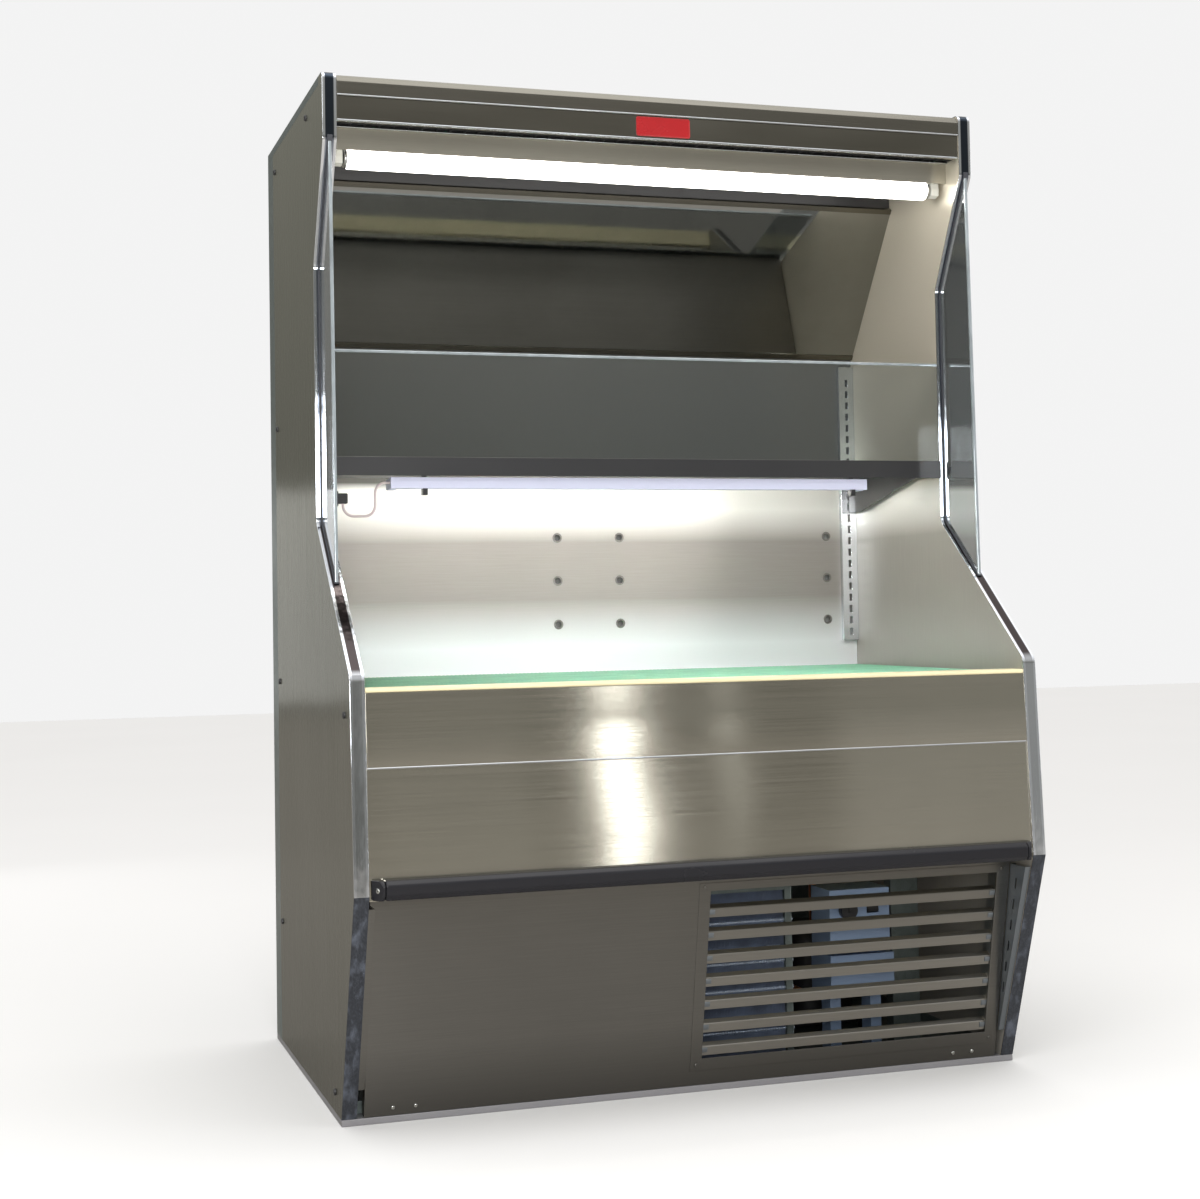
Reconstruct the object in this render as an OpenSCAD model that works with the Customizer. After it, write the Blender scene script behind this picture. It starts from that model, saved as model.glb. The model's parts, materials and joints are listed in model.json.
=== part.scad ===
// Open-front refrigerated display case for produce, four-foot size.
// X runs across the case, Y from the front to the back, Z up; the floor is at Z = 0.
// Depths named "set" or measured as "s" start at the nose of the end panels.

/* [Case] */
// Overall width over both end panels
case_w = 1295; // [1240:5:1500]
// Depth from the nose of the end panels to the back
case_d = 883; // [870:1:940]
// Height of the end panels above the floor
case_h = 1847; // [1835:1:1900]
// Thickness of an end panel
end_t = 26; // [22:1:32]
// Thickness of the base plate
base_t = 12; // [8:1:16]
// Thickness of the bent sheets
sheet = 2; // [1.5:0.1:2.4]
// Gap between neighbouring pieces
gap = 0.3; // [0.2:0.05:0.4]
// Radial clearance of a shaft in its bore
shaft_fit = 0.08; // [0.05:0.01:0.1]

/* [Side outline] */
// Setback of the front edge at the floor
foot_set = 141; // [120:1:170]
// Height of the nose, the furthest forward corner
nose_z = 408; // [404:1:412]
// Height of the corner above the well front
well_z = 773; // [765:1:790]
// Setback of that corner
well_set = 20; // [10:1:30]
// Height of the lower end of the upright edge
throat_z = 1043; // [1020:1:1070]
// Setback of the upright edge
throat_set = 328; // [322:1:340]
// Distance of the upper end of the upright edge below the top
brow_drop = 333; // [310:1:365]
// Distance of the lower canopy corner below the top
canopy_drop = 122; // [112:1:132]
// Setback of the canopy front
canopy_set = 215; // [205:1:225]
// Thickness of the polished trim and of the kick strip
edge_t = 2; // [1.5:0.1:3]
// Length of the trim along the top of the panel
cap_l = 40; // [25:1:60]
// Radius of the bends in the front edge
bend_r = 26; // [12:1:34]
// Setback of the lower tip of the clear wing
wing_tip_set = 198; // [170:1:210]

/* [Skins and rear casing] */
// Thickness of the outer side skin
skin_t = 1.2; // [0.8:0.1:1.6]
// Width of the rear casing seen from the side
rear_w = 68; // [55:1:90]
// Depth of the flange of the top cover
cover_drop = 16; // [12:1:24]
// Diameter of the side screws
screw_d = 5; // [4:0.5:6]
// Width of a vent slot in the rear casing
vent_w = 150; // [120:5:180]
// Height of a vent slot
vent_h = 8; // [6:1:10]
// Rows of vent slots
vent_rows = 8; // [6:1:8]
// Distance between the rows
vent_pitch = 30; // [24:1:32]
// Diameter of the screw heads
head_d = 12; // [10:0.5:14]

/* [Canopy] */
// Distance of the lower edge of the canopy front below the top
hood_drop = 42; // [36:1:46]
// Height of the fascia
fascia_h = 46; // [42:1:50]
// Depth of the air slot under the canopy
slot_d = 56; // [48:1:64]
// Distance of the lower edge of the lamp valance below the top
valance_drop = 127; // [119:1:135]
// Diameter of the canopy lamp
lamp_d = 38; // [26:1:38]
// Distance of the lamp axis below the top
lamp_drop = 136; // [132:1:142]

/* [Mirror] */
// Distance of the lower edge of the mirror below the top
mirror_low_drop = 422; // [412:1:432]
// Distance of the upper edge of the mirror below the top
mirror_high_drop = 131; // [127:1:147]
// Distance of the upper edge of the mirror from the back
mirror_back = 368; // [353:1:383]
// Thickness of the mirror glass
mirror_t = 5; // [4:0.5:6]

/* [Back wall] */
// Distance of the inner back wall from the back
wall_back = 151; // [143:1:158]
// Diameter of the air holes in the back wall
air_hole_d = 14; // [10:1:18]
// Width of a shelf standard
std_w = 36; // [30:1:40]
// Depth of a shelf standard
std_d = 12; // [10:1:14]
// Pitch of the slots in a shelf standard
std_pitch = 25; // [20:1:32]

/* [Shelf] */
// Height of the shelf surface
shelf_z = 1154; // [1140:1:1165]
// Height of the front lip of the shelf
lip_h = 35; // [30:1:40]
// Height of the clear guard above the shelf
guard_h = 208; // [150:1:230]
// Length of the shelf lamp
shelf_lamp_l = 968; // [800:4:1000]

/* [Well and deck] */
// Height of the deck surface
deck_z = 743; // [738:1:746]
// Height of the seam between the front panels
seam_z = 617; // [600:1:640]
// Height of the tank floor
tank_z = 482; // [475:1:500]
// Thickness of the tank insulation
foam_t = 40; // [35:1:42]

/* [Bumper] */
// Height of the bumper rail
bump_h = 35; // [28:1:38]
// Projection of the bumper rail
bump_out = 24; // [16:1:28]

/* [Lower front panel] */
// Setback of its upper edge
low_top_set = 64; // [60:1:70]
// Setback of its lower edge
low_foot_set = 142; // [142:1:150]
// Left edge of the grille opening
grille_x0 = 8; // [0:1:40]
// Distance of the grille opening from the right edge of the panel
grille_edge = 25.7; // [20:0.1:45]
// Number of louvres
louvres = 7; // [6:1:8]

/* [Cooling unit] */
// Diameter of the condenser fan
fan_d = 210; // [180:2:220]
// Diameter of an evaporator fan
evap_d = 190; // [160:2:196]
// Diameter of the compressor shell
comp_d = 170; // [150:2:180]

/* [Hidden] */
$fn = 48;

hw = case_w / 2;
ix = hw - end_t;
fit_x = ix - gap;
front_y = bump_out - (case_d + bump_out) / 2;
back_s = case_d;
seam_s = case_d - rear_w;
wall_set = case_d - wall_back;
tank_back = wall_set + 40;
mirror_set = case_d - mirror_back;
brow_z = case_h - brow_drop;
canopy_z = case_h - canopy_drop;
hood_z = case_h - hood_drop;
fascia_z = hood_z - fascia_h;
liner_z = fascia_z - 7;
valance_z = case_h - valance_drop;
lamp_z = case_h - lamp_drop;
mirror_low = case_h - mirror_low_drop;
mirror_high = case_h - mirror_high_drop;
low_x = fit_x - 12.5;
grille_x1 = low_x - grille_edge;

// Colours of the finishes
steel = [0.62, 0.62, 0.58];
dark_steel = [0.45, 0.46, 0.44];
bright = [0.82, 0.83, 0.84];
black = [0.07, 0.07, 0.08];
galvanised = [0.42, 0.45, 0.44];
clear = [0.80, 0.88, 0.88, 0.35];
lamp_white = [1, 0.98, 0.94];
foam = [0.86, 0.80, 0.58];
green = [0.25, 0.55, 0.38];
copper = [0.72, 0.42, 0.26];

// Corners of the front edge of an end panel in the side view, from the top down
corners = [
    [canopy_set + cap_l, case_h],
    [canopy_set, case_h],
    [canopy_set, canopy_z],
    [throat_set, brow_z],
    [throat_set, throat_z],
    [well_set, well_z],
    [0, nose_z],
    [foot_set, base_t]
];
bend_steps = 4;

function unit(v) = v / norm(v);
// Points of the arc of radius r that replaces corner i of a path
function bend(p, i, r) =
    let (
        u = unit(p[i] - p[i - 1]),
        v = unit(p[i + 1] - p[i]),
        turn = asin(cross(u, v)),
        away = sign(turn) * [u[1], -u[0]] * r,
        centre = p[i] - u * r * tan(abs(turn) / 2) - away
    )
    [for (k = [0:bend_steps]) let (a = turn * k / bend_steps)
        centre + [away[0] * cos(a) - away[1] * sin(a), away[0] * sin(a) + away[1] * cos(a)]];
top_arc = bend(corners, 1, bend_r / 2);
canopy_arc = bend(corners, 2, bend_r);
brow_arc = bend(corners, 3, bend_r);
throat_arc = bend(corners, 4, bend_r);
well_arc = bend(corners, 5, bend_r);
// The same edge with its bends
edge = concat([corners[0]], top_arc, canopy_arc, brow_arc, throat_arc, well_arc,
    [corners[6], corners[7]]);
nose_i = len(edge) - 2;

function left_normal(a, b) = [a[1] - b[1], b[0] - a[0]] / norm(b - a);
function normal_before(p, i) = left_normal(p[max(i, 1) - 1], p[max(i, 1)]);
function normal_after(p, i) = let (k = min(i, len(p) - 2)) left_normal(p[k], p[k + 1]);
function inset_at(p, i, t) =
    let (a = normal_before(p, i), b = normal_after(p, i)) p[i] + t * (a + b) / (1 + a * b);
// Points i0 to i1 of a path moved inward by t
function inset_path(p, t, i0, i1) = [for (i = [i0:i1]) inset_at(p, i, t)];
// Outline of a sheet of thickness t that follows points i0 to i1 of a path
function band(p, t, i0, i1) = concat(
    [for (i = [i0:i1]) p[i]],
    [for (i = [i1:-1:i0]) inset_at(p, i, t)]
);
// Setback of the sloping front edge above the foot at height z
function kick_s(z) = foot_set * (nose_z - z) / (nose_z - base_t);
// Setback of the lower front panel at height z
function low_s(z) = low_top_set + (low_foot_set - low_top_set) * (low_z1 - z) / (low_z1 - low_z0);
// Setback of the well front at height z
function face_s(z) = well_set * (z - nose_z) / (well_z - nose_z);

// The frame in which Y is the depth behind the nose
module placed() {
    translate([0, front_y, 0]) children();
}

// A side-view outline stretched from x0 to x1
module across(x0, x1) {
    translate([x0, 0, 0]) rotate([90, 0, 90]) linear_extrude(height = x1 - x0) children();
}

// A block given by its limits on the three axes
module block(x, s, z) {
    translate([x[0], s[0], z[0]]) cube([x[1] - x[0], s[1] - s[0], z[1] - z[0]]);
}

// A rectangle in the side view
module rect(s, z) {
    translate([s[0], z[0]]) square([s[1] - s[0], z[1] - z[0]]);
}

// A rod along the depth
module rod_y(x, s0, s1, z, d) {
    translate([x, s0, z]) rotate([-90, 0, 0]) cylinder(d = d, h = s1 - s0);
}

// A rod along the width
module rod_x(x0, x1, s, z, d) {
    translate([x0, s, z]) rotate([0, 90, 0]) cylinder(d = d, h = x1 - x0);
}

// Children on the left (-1) or the right (+1) side
module on_side(side) {
    if (side < 0) mirror([1, 0, 0]) children();
    else children();
}

// Base and machine floor

module base_plate() {
    color(galvanised) placed() block([-hw, hw], [foot_set, back_s], [0, base_t]);
}

// Post of bent sheet that carries the tank at the right of the cooling unit
post_x = [grille_x1 - 107, grille_x1 - 48];
post_s = 300;

module base_pan() {
    z0 = base_t + gap;
    lip = 22;
    s0 = low_foot_set + 30;
    s1 = back_s - 2 * sheet - 20;
    color(galvanised) placed() {
        difference() {
            block([-fit_x, fit_x], [s0, s1], [z0, z0 + lip]);
            block([sheet - fit_x, fit_x - sheet], [s0 + sheet, s1 - sheet],
                [z0 + sheet, z0 + lip + 1]);
        }
        block([post_x[0], post_x[1]], [post_s, post_s + sheet],
            [z0 + sheet / 2, tank_z - foam_t - gap]);
        for (x = [post_x[0], post_x[1] - sheet])
            block([x, x + sheet], [post_s, post_s + 30], [z0 + sheet / 2, tank_z - foam_t - gap]);
    }
}

// End panels, skins and trims

// Depth and height of the side screws
screw_s = seam_s - 30;
screw_spots = [
    [390, case_h - 43], [screw_s, case_h - 57], [screw_s, 1258], [screw_s, 742],
    [face_s(well_z) + 45, 706], [screw_s, 256], [196, 48]
];

module panel_outline() {
    below = edge[nose_i + 1] + unit(edge[nose_i + 1] - edge[nose_i]) * base_t;
    line = concat([for (i = [0:nose_i]) edge[i]], [below]);
    intersection() {
        polygon(concat(
            inset_path(line, edge_t, 0, len(line) - 1),
            [[back_s - sheet - gap, 0], [back_s - sheet - gap, case_h - edge_t]]
        ));
        rect([0, back_s], [base_t + gap, case_h]);
    }
}

module end_panel(side) {
    color(dark_steel) placed() on_side(side) difference() {
        across(ix, hw - skin_t) panel_outline();
        for (p = screw_spots) rod_x(hw - 20, hw + 1, p[0], p[1], screw_d);
    }
}

module side_skin(side) {
    color(steel) placed() on_side(side) difference() {
        across(hw - skin_t, hw) intersection() {
            panel_outline();
            union() {
                rect([0, seam_s - gap], [0, case_h - cover_drop - gap]);
                rect([0, canopy_set + cap_l], [canopy_z, case_h]);
            }
        }
        for (p = screw_spots) rod_x(hw - 20, hw + 1, p[0], p[1], screw_d);
    }
}

module edge_trim(side) {
    color(bright) placed() on_side(side) across(ix, hw) polygon(band(edge, edge_t, 0, nose_i));
}

module kick_strips() {
    for (side = [-1, 1]) color([0.2, 0.2, 0.22]) placed() on_side(side) across(ix, hw)
        polygon(band(edge, edge_t, nose_i, nose_i + 1));
}

module panel_screws() {
    shank = 16;
    head_h = 3.8;
    for (side = [-1, 1]) color(black) placed() on_side(side) for (p = screw_spots) {
        rod_x(hw - shank, hw + gap / 2, p[0], p[1], screw_d - 2 * gap);
        translate([hw + gap / 2, p[0], p[1]]) rotate([0, 90, 0]) rotate_extrude() polygon([
            [0, 0], [head_d / 2, 0], [head_d / 2, head_h * 0.45], [head_d * 0.36, head_h],
            [0, head_h]
        ]);
    }
}

// Clear sheet that fills the notch of an end panel
module clear_wing(side) {
    t = 6;
    x0 = ix + end_t / 2 - t / 2;
    tip_z = well_z + (wing_tip_set - well_set) * (throat_z - well_z) / (throat_set - well_set);
    color(clear) placed() on_side(side) across(x0, x0 + t) translate([-gap, 0])
        polygon(concat(canopy_arc, brow_arc, throat_arc, [[wing_tip_set, tip_z]]));
}

// Rear casing, insulation and top cover

// Slot with round ends in the back view, w wide and h high
module vent_slot(w, h) {
    square([w - h, h], center = true);
    for (x = [-1, 1]) translate([x * (w - h) / 2, 0]) circle(d = h);
}

cover_x = hw - 40;
cover_z = [60, tank_z - foam_t - 12];

// Shallow groove and screw seats that outline the service cover and the seams
module rear_marks() {
    depth = 0.8;
    difference() {
        block([-cover_x, cover_x], [back_s - depth, back_s + 1], cover_z);
        block([2 - cover_x, cover_x - 2], [back_s - 2, back_s + 2],
            [cover_z[0] + 2, cover_z[1] - 2]);
    }
    for (z = [cover_z[1] + 340, cover_z[1] + 860])
        block([-hw - 1, hw + 1], [back_s - depth, back_s + 1], [z, z + 2]);
    for (z = [cover_z[0] + 18, cover_z[1] - 18, case_h - 60]) for (i = [-2:2])
        rod_y(i * (cover_x - 22) / 2, back_s - depth, back_s + 1, z, 9);
}

module rear_casing() {
    z0 = base_t + gap;
    z1 = case_h - cover_drop - gap;
    color(galvanised) placed() {
        difference() {
            block([-hw, hw], [back_s - sheet, back_s], [z0, z1]);
            rear_marks();
            for (i = [-3:2:3]) for (row = [0:vent_rows - 1])
                translate([i * 140, back_s + 1, cover_z[0] + 70 + row * vent_pitch])
                    rotate([90, 0, 0]) linear_extrude(height = sheet + 2)
                        vent_slot(vent_w, vent_h);
        }
        for (side = [-1, 1]) on_side(side)
            block([hw - skin_t, hw], [seam_s, back_s - sheet / 2], [z0, z1]);
    }
}

// Foam behind the inner rear wall and around the tank
module insulation() {
    z0 = tank_z - foam_t;
    skin = edge_t + 2 * sheet + 1;
    color(foam) placed() {
        block([-fit_x, fit_x], [tank_back + gap, back_s - sheet - gap], [z0, case_h - 10]);
        across(-fit_x, fit_x) polygon([
            [face_s(z0) + skin, z0], [tank_back, z0], [tank_back, tank_z - sheet - gap],
            [tank_front - gap, tank_z - sheet - gap], [tank_front - gap, tank_top],
            [face_s(tank_top) + skin, tank_top]
        ]);
    }
}

module top_cover() {
    s0 = canopy_set + cap_l + gap;
    color(galvanised) placed() {
        block([-hw, hw], [s0, back_s], [case_h - edge_t + gap, case_h]);
        block([-hw, hw], [back_s - sheet, back_s], [case_h - cover_drop, case_h - gap]);
        for (side = [-1, 1]) on_side(side)
            block([hw - skin_t, hw], [s0, back_s], [case_h - cover_drop, case_h - gap]);
    }
}

// Canopy

hood_top = case_h - edge_t - 3;
fascia_s = canopy_set + 3;
slot_s = canopy_set + slot_d;

module canopy_shell() {
    lip = 16;
    path = [
        [tank_back, hood_top], [canopy_set + 8, hood_top], [canopy_set, hood_top - 12],
        [canopy_set, hood_z], [canopy_set + lip, hood_z]
    ];
    color(steel) placed() across(-fit_x, fit_x) polygon(band(path, sheet, 0, 4));
}

module canopy_fascia() {
    path = [
        [fascia_s + 13, hood_z - gap], [fascia_s, hood_z - gap], [fascia_s, fascia_z],
        [fascia_s + 12, fascia_z]
    ];
    color(steel) placed() across(-fit_x, fit_x) polygon(band(path, sheet, 0, 3));
}

module air_honeycomb() {
    z0 = fascia_z + sheet + gap;
    s0 = fascia_s + sheet + gap;
    s1 = slot_s + sheet - gap;
    cells = 46;
    pitch = (2 * fit_x - 8) / cells;
    rows = 2;
    row = (s1 - s0 - 6) / rows;
    color(black) placed() difference() {
        block([-fit_x, fit_x], [s0, s1], [z0, z0 + 12]);
        for (i = [0:cells - 1]) for (j = [0:rows - 1])
            block([i * pitch - fit_x + 5.5, (i + 1) * pitch - fit_x + 4],
                [s0 + 3 + j * row + 1, s0 + 3 + (j + 1) * row - 1], [z0 - 1, z0 + 13]);
    }
}

module lamp_valance() {
    top = fascia_z + sheet;
    color(steel) placed() across(-fit_x, fit_x) {
        rect([slot_s, slot_s + sheet], [valance_z, top]);
        rect([slot_s - 9, slot_s + sheet], [top - sheet, top]);
    }
}

module canopy_liner() {
    s0 = slot_s + sheet + gap;
    s1 = mirror_set + 10;
    color([0.9, 0.9, 0.88]) placed() across(-fit_x, fit_x) {
        rect([s0, s1], [liner_z, liner_z + sheet]);
        rect([s1 - sheet, s1], [mirror_high + 6, liner_z + sheet]);
        rect([s0, s0 + sheet], [liner_z - 14, liner_z + sheet]);
    }
}

lamp_s = canopy_set + 89;
lamp_l = 2 * ix - 64;

module canopy_lamp() {
    color(lamp_white) placed() rod_x(-lamp_l / 2, lamp_l / 2, lamp_s, lamp_z, lamp_d);
    color(bright) placed() for (side = [-1, 1]) on_side(side)
        rod_x(lamp_l / 2 - 16, lamp_l / 2 + 8, lamp_s, lamp_z, lamp_d - 4);
}

module canopy_lampholders() {
    x0 = lamp_l / 2 + 8 + gap;
    color([0.88, 0.88, 0.85]) placed() for (side = [-1, 1]) on_side(side) {
        block([x0, fit_x - 6], [lamp_s - 14, lamp_s + 14], [lamp_z - 12, liner_z - gap]);
        rod_x(x0, fit_x - 6, lamp_s, lamp_z, 30);
    }
}

// Mirror

mirror_low_set = wall_set - 7.6;
mirror_l = norm([mirror_low_set - mirror_set, mirror_high - mirror_low]);
mirror_a = atan2(mirror_high - mirror_low, mirror_set - mirror_low_set);

// Side view measured along the mirror face, from its lower edge up
module mirror_frame() {
    translate([mirror_low_set, mirror_low]) rotate(mirror_a) children();
}

module mirror_glass() {
    color([0.75, 0.78, 0.80]) placed() across(-fit_x, fit_x) mirror_frame()
        rect([0, mirror_l], [-mirror_t, 0]);
}

module mirror_retainers() {
    grip = 9;
    w = 1.6;
    color(bright) placed() across(-fit_x, fit_x) mirror_frame() {
        difference() {
            rect([-gap - w, grip], [-mirror_t - gap - w, gap + w]);
            rect([-gap, grip + 1], [-mirror_t - gap, gap]);
        }
        difference() {
            rect([mirror_l - grip, mirror_l + gap + w], [-mirror_t - gap - w, gap + w]);
            rect([mirror_l - grip - 1, mirror_l + gap], [-mirror_t - gap, gap]);
        }
    }
}

// Back wall and shelf standards

hole_cols = [-552, -69, 69, 552];
hole_rows = [847, 939, 1030];
wall_top = liner_z - 6;

module inner_back_wall() {
    ledge = 26;
    z0 = deck_z - sheet - gap;
    color(steel) placed() difference() {
        across(-fit_x, fit_x) {
            rect([wall_set, wall_set + sheet], [z0 - sheet, wall_top]);
            rect([wall_set - ledge, wall_set + sheet], [z0 - sheet, z0]);
        }
        for (x = hole_cols) for (z = hole_rows)
            rod_y(x * (ix / 621.5), wall_set - 1, wall_set + sheet + 1, z, air_hole_d);
    }
}

std_z0 = 800;
std_z1 = mirror_low - 19;
std_x = fit_x - std_w / 2;
slot_w = 6;
slot_h = 15;

// Slotted channels that carry the shelf, closed side to the front
module shelf_standards() {
    s0 = wall_set - gap - std_d;
    t = 1.5;
    count = floor((std_z1 - std_z0 - 20) / std_pitch);
    color(bright) placed() for (side = [-1, 1]) on_side(side) difference() {
        block([std_x - std_w / 2, std_x + std_w / 2], [s0, wall_set - gap], [std_z0, std_z1]);
        block([std_x - std_w / 2 + t, std_x + std_w / 2 - t], [s0 + t, wall_set],
            [std_z0 - 1, std_z1 + 1]);
        for (i = [0:count - 1])
            block([std_x - slot_w / 2, std_x + slot_w / 2], [s0 - 1, s0 + t + 1],
                [slot_base(i), slot_base(i) + slot_h]);
    }
}

function slot_base(i) = std_z0 + 12 + i * std_pitch;
// Slots that take the upper and the lower hook of a bracket
hook_hi = floor((shelf_z - std_z0 - 12 - 38) / std_pitch);
hook_lo = hook_hi - 1;

// Shelf

shelf_s0 = throat_set - 10;
shelf_s1 = wall_set - gap - std_d - 20;
shelf_x = fit_x - 1;
bracket_t = 3;

// Arm under one end of the shelf, hooked into its standard
module shelf_bracket(side) {
    root = wall_set - gap - std_d - gap;
    top = shelf_z - sheet - gap;
    tip_s = shelf_s0 + 70;
    low = slot_base(hook_lo) - 6;
    color(black) placed() on_side(side) {
        across(std_x - bracket_t / 2, std_x + bracket_t / 2) polygon([
            [tip_s, top], [tip_s, top - 14], [root - 60, low], [root, low], [root, top - 8],
            [shelf_s1 - sheet - 4, top - 8], [shelf_s1 - sheet - 4, top]
        ]);
        for (i = [hook_lo, hook_hi])
            block([std_x - bracket_t / 2, std_x + bracket_t / 2], [root - 2, root + 6],
                [slot_base(i) + gap, slot_base(i) + slot_h - 2]);
        block([std_x - 10, std_x + 8], [tip_s, shelf_s1 - 52], [top - 2, top]);
    }
}

module shelf_panel() {
    lip_top = shelf_z + 11;
    color(black) placed() {
        across(-shelf_x, shelf_x) {
            rect([shelf_s0, shelf_s0 + sheet], [lip_top - lip_h, lip_top]);
            rect([shelf_s0, shelf_s1], [shelf_z - sheet, shelf_z]);
            rect([shelf_s1 - sheet, shelf_s1], [shelf_z - sheet, shelf_z + 14]);
        }
        for (side = [-1, 1]) on_side(side)
            block([shelf_x - sheet, shelf_x], [shelf_s0, shelf_s1], [shelf_z - 16, shelf_z]);
    }
}

module shelf_guard() {
    s0 = shelf_s0 + sheet + gap;
    color(clear) placed()
        block([3 - shelf_x, shelf_x - 3], [s0, s0 + 3], [shelf_z + gap, shelf_z + guard_h]);
}

lamp_x0 = 113.2 - fit_x;
lamp_x1 = lamp_x0 + shelf_lamp_l;
batten_s = shelf_s0 + 12;
batten_z = shelf_z - 47;
batten_h = 21;

// Lamp batten under the shelf front with its two hanging clips
module shelf_lamp_housing() {
    color([0.86, 0.85, 0.92]) placed() {
        block([lamp_x0, lamp_x1], [batten_s, batten_s + 20], [batten_z, batten_z + batten_h]);
        for (x = [lamp_x0, lamp_x1 - 14])
            block([x, x + 14], [batten_s + 19, batten_s + 44], [batten_z - 1, batten_z + 19]);
    }
    color(black) placed() for (x = [lamp_x0 + 60, lamp_x1 - 36]) {
        block([x, x + 9], [batten_s + 6, batten_s + 14],
            [batten_z + batten_h - 1, shelf_z - sheet - gap]);
        block([x, x + 9], [batten_s - 2.4, batten_s + 14], [batten_z - 12, batten_z + gap]);
    }
}

module shelf_lamp_tube() {
    color(lamp_white) placed() rod_x(lamp_x0 + 14 + gap, lamp_x1 - 14 - gap,
        batten_s + 32, batten_z + 9, 16);
}

lead_s = batten_s + 10;
lead_d = 5;
lead_r = 20;

// A quarter bend of the lead in the front view, from angle a to a + 90
module lead_bend(x, z, r, a) {
    translate([x, lead_s, z]) rotate([90, 0, 0]) rotate([0, 0, a])
        rotate_extrude(angle = 90) translate([r, 0]) circle(d = lead_d);
}

// Short lead that hangs in a loop from the batten to its socket, with its plug
module shelf_lamp_lead() {
    top = batten_z + 11;
    low = batten_z - 51;
    x1 = lamp_x0 - lead_r - 8;
    x2 = x1 - 3 * lead_r;
    color([0.78, 0.72, 0.72]) placed() {
        rod_x(x1 + lead_r, lamp_x0 - gap, lead_s, top, lead_d);
        lead_bend(x1 + lead_r, top - lead_r, lead_r, 90);
        translate([x1, lead_s, low + lead_r])
            cylinder(d = lead_d, h = top - low - 2 * lead_r);
        lead_bend(x1 - lead_r, low + lead_r, lead_r, 270);
        rod_x(x2 + lead_r, x1 - lead_r, lead_s, low, lead_d);
        lead_bend(x2 + lead_r, low + lead_r, lead_r, 180);
        translate([x2, lead_s, low + lead_r]) cylinder(d = lead_d, h = 4);
        block([socket_x + gap, x2 + 7], [lead_s - 8, lead_s + 8], [low + 23, low + 42]);
    }
}

socket_x = -fit_x + 15;

module lamp_socket() {
    z = batten_z - 51 + 32;
    color(black) placed() {
        block([-fit_x, socket_x], [lead_s - 12, lead_s + 12], [z - 14, z + 14]);
        block([-fit_x, -fit_x + 4], [lead_s - 18, lead_s + 18], [z - 24, z + 24]);
    }
}

// Tank, insulation and rails

tank_front = 62;
tank_top = deck_z - sheet - 6;

module tank_liner() {
    color(bright) placed() across(-fit_x, fit_x) {
        rect([tank_front, tank_front + sheet], [tank_z - sheet, tank_top]);
        rect([tank_front, tank_back], [tank_z - sheet, tank_z]);
        rect([tank_back - sheet, tank_back], [tank_z - sheet, hood_top - sheet - gap]);
    }
}

module tank_rails() {
    z1 = tank_z - foam_t - gap;
    rail_h = z1 - nose_z;
    color(galvanised) placed() for (s = [90, tank_back - 60]) across(-fit_x, fit_x) {
        rect([s, s + 40], [z1 - sheet, z1]);
        rect([s, s + sheet], [z1 - rail_h, z1]);
    }
}

// Deck

return_w = 56;
grille_s1 = tank_front + return_w;
pan_s0 = grille_s1 + gap;
pan_s1 = wall_set - 2 * gap;

module return_grille() {
    z1 = deck_z;
    slots = 36;
    pitch = (2 * fit_x - 30) / slots;
    color(steel) placed() difference() {
        across(-fit_x, fit_x) {
            rect([tank_front, grille_s1], [z1 - sheet, z1]);
            rect([tank_front, tank_front + sheet], [tank_top + gap, z1]);
            rect([grille_s1 - sheet, grille_s1], [z1 - 24, z1]);
            rect([grille_s1 - sheet, grille_s1 + 14], [z1 - 24, z1 - 24 + sheet]);
        }
        for (i = [0:slots - 1])
            block([i * pitch - fit_x + 20, (i + 1) * pitch - fit_x + 10],
                [tank_front + 10, grille_s1 - 10], [z1 - sheet - 1, z1 + 1]);
    }
}

// Removable tray of the deck; it rests on the fan plate and on the ledge of the back wall
module deck_pan(side) {
    lip = 22 - gap;
    color(steel) placed() on_side(side) difference() {
        union() {
            block([1, fit_x - 1], [pan_s0, pan_s1 - 0.4], [deck_z - sheet, deck_z]);
            block([1, fit_x - 1], [pan_s0, pan_s0 + sheet], [deck_z - lip, deck_z]);
        }
        block([std_x - std_w / 2 - 3, fit_x], [pan_s1 - std_d - 3, pan_s1],
            [deck_z - sheet - 1, deck_z + 1]);
    }
}

module deck_mat(side) {
    color(green) placed() on_side(side)
        block([2, fit_x - 8], [pan_s0 + 8, pan_s1 - std_d - 4], [deck_z + gap, deck_z + 5]);
}

// Front panels and bumper

nosing_h = 8;
nosing_z = deck_z + 1;

module front_nosing() {
    z0 = nosing_z;
    s0 = face_s(z0) + edge_t - 2;
    r = nosing_h / 2;
    color([0.93, 0.90, 0.78]) placed() across(-fit_x, fit_x) {
        translate([s0 + r, z0 + r]) circle(r);
        rect([s0 + r, tank_front - gap], [z0, z0 + nosing_h]);
    }
}

// Sheet of the well front between two heights, set back by extra
module well_sheet(z0, z1, extra) {
    set = edge_t + extra;
    color(steel) placed() across(-fit_x, fit_x) polygon([
        [face_s(z0) + set, z0], [face_s(z0) + set + sheet, z0],
        [face_s(z1) + set + sheet, z1], [face_s(z1) + set, z1]
    ]);
}

module front_panel_upper() {
    z1 = nosing_z - gap;
    well_sheet(seam_z, z1, -1);
    color(steel) placed() across(-fit_x, fit_x)
        rect([face_s(z1) + edge_t - 1, face_s(z1) + edge_t + 30], [z1 - sheet, z1]);
}

bump_z = nose_z - 7;

module front_panel_middle() {
    well_sheet(bump_z, seam_z + 26, sheet - 1 + gap);
    color(steel) placed() across(-fit_x, fit_x)
        rect([face_s(bump_z) + edge_t + sheet - 1 + gap, low_top_set + 34],
            [bump_z - sheet / 2, bump_z + sheet / 2]);
}

cap_x = fit_x - 23;

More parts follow.
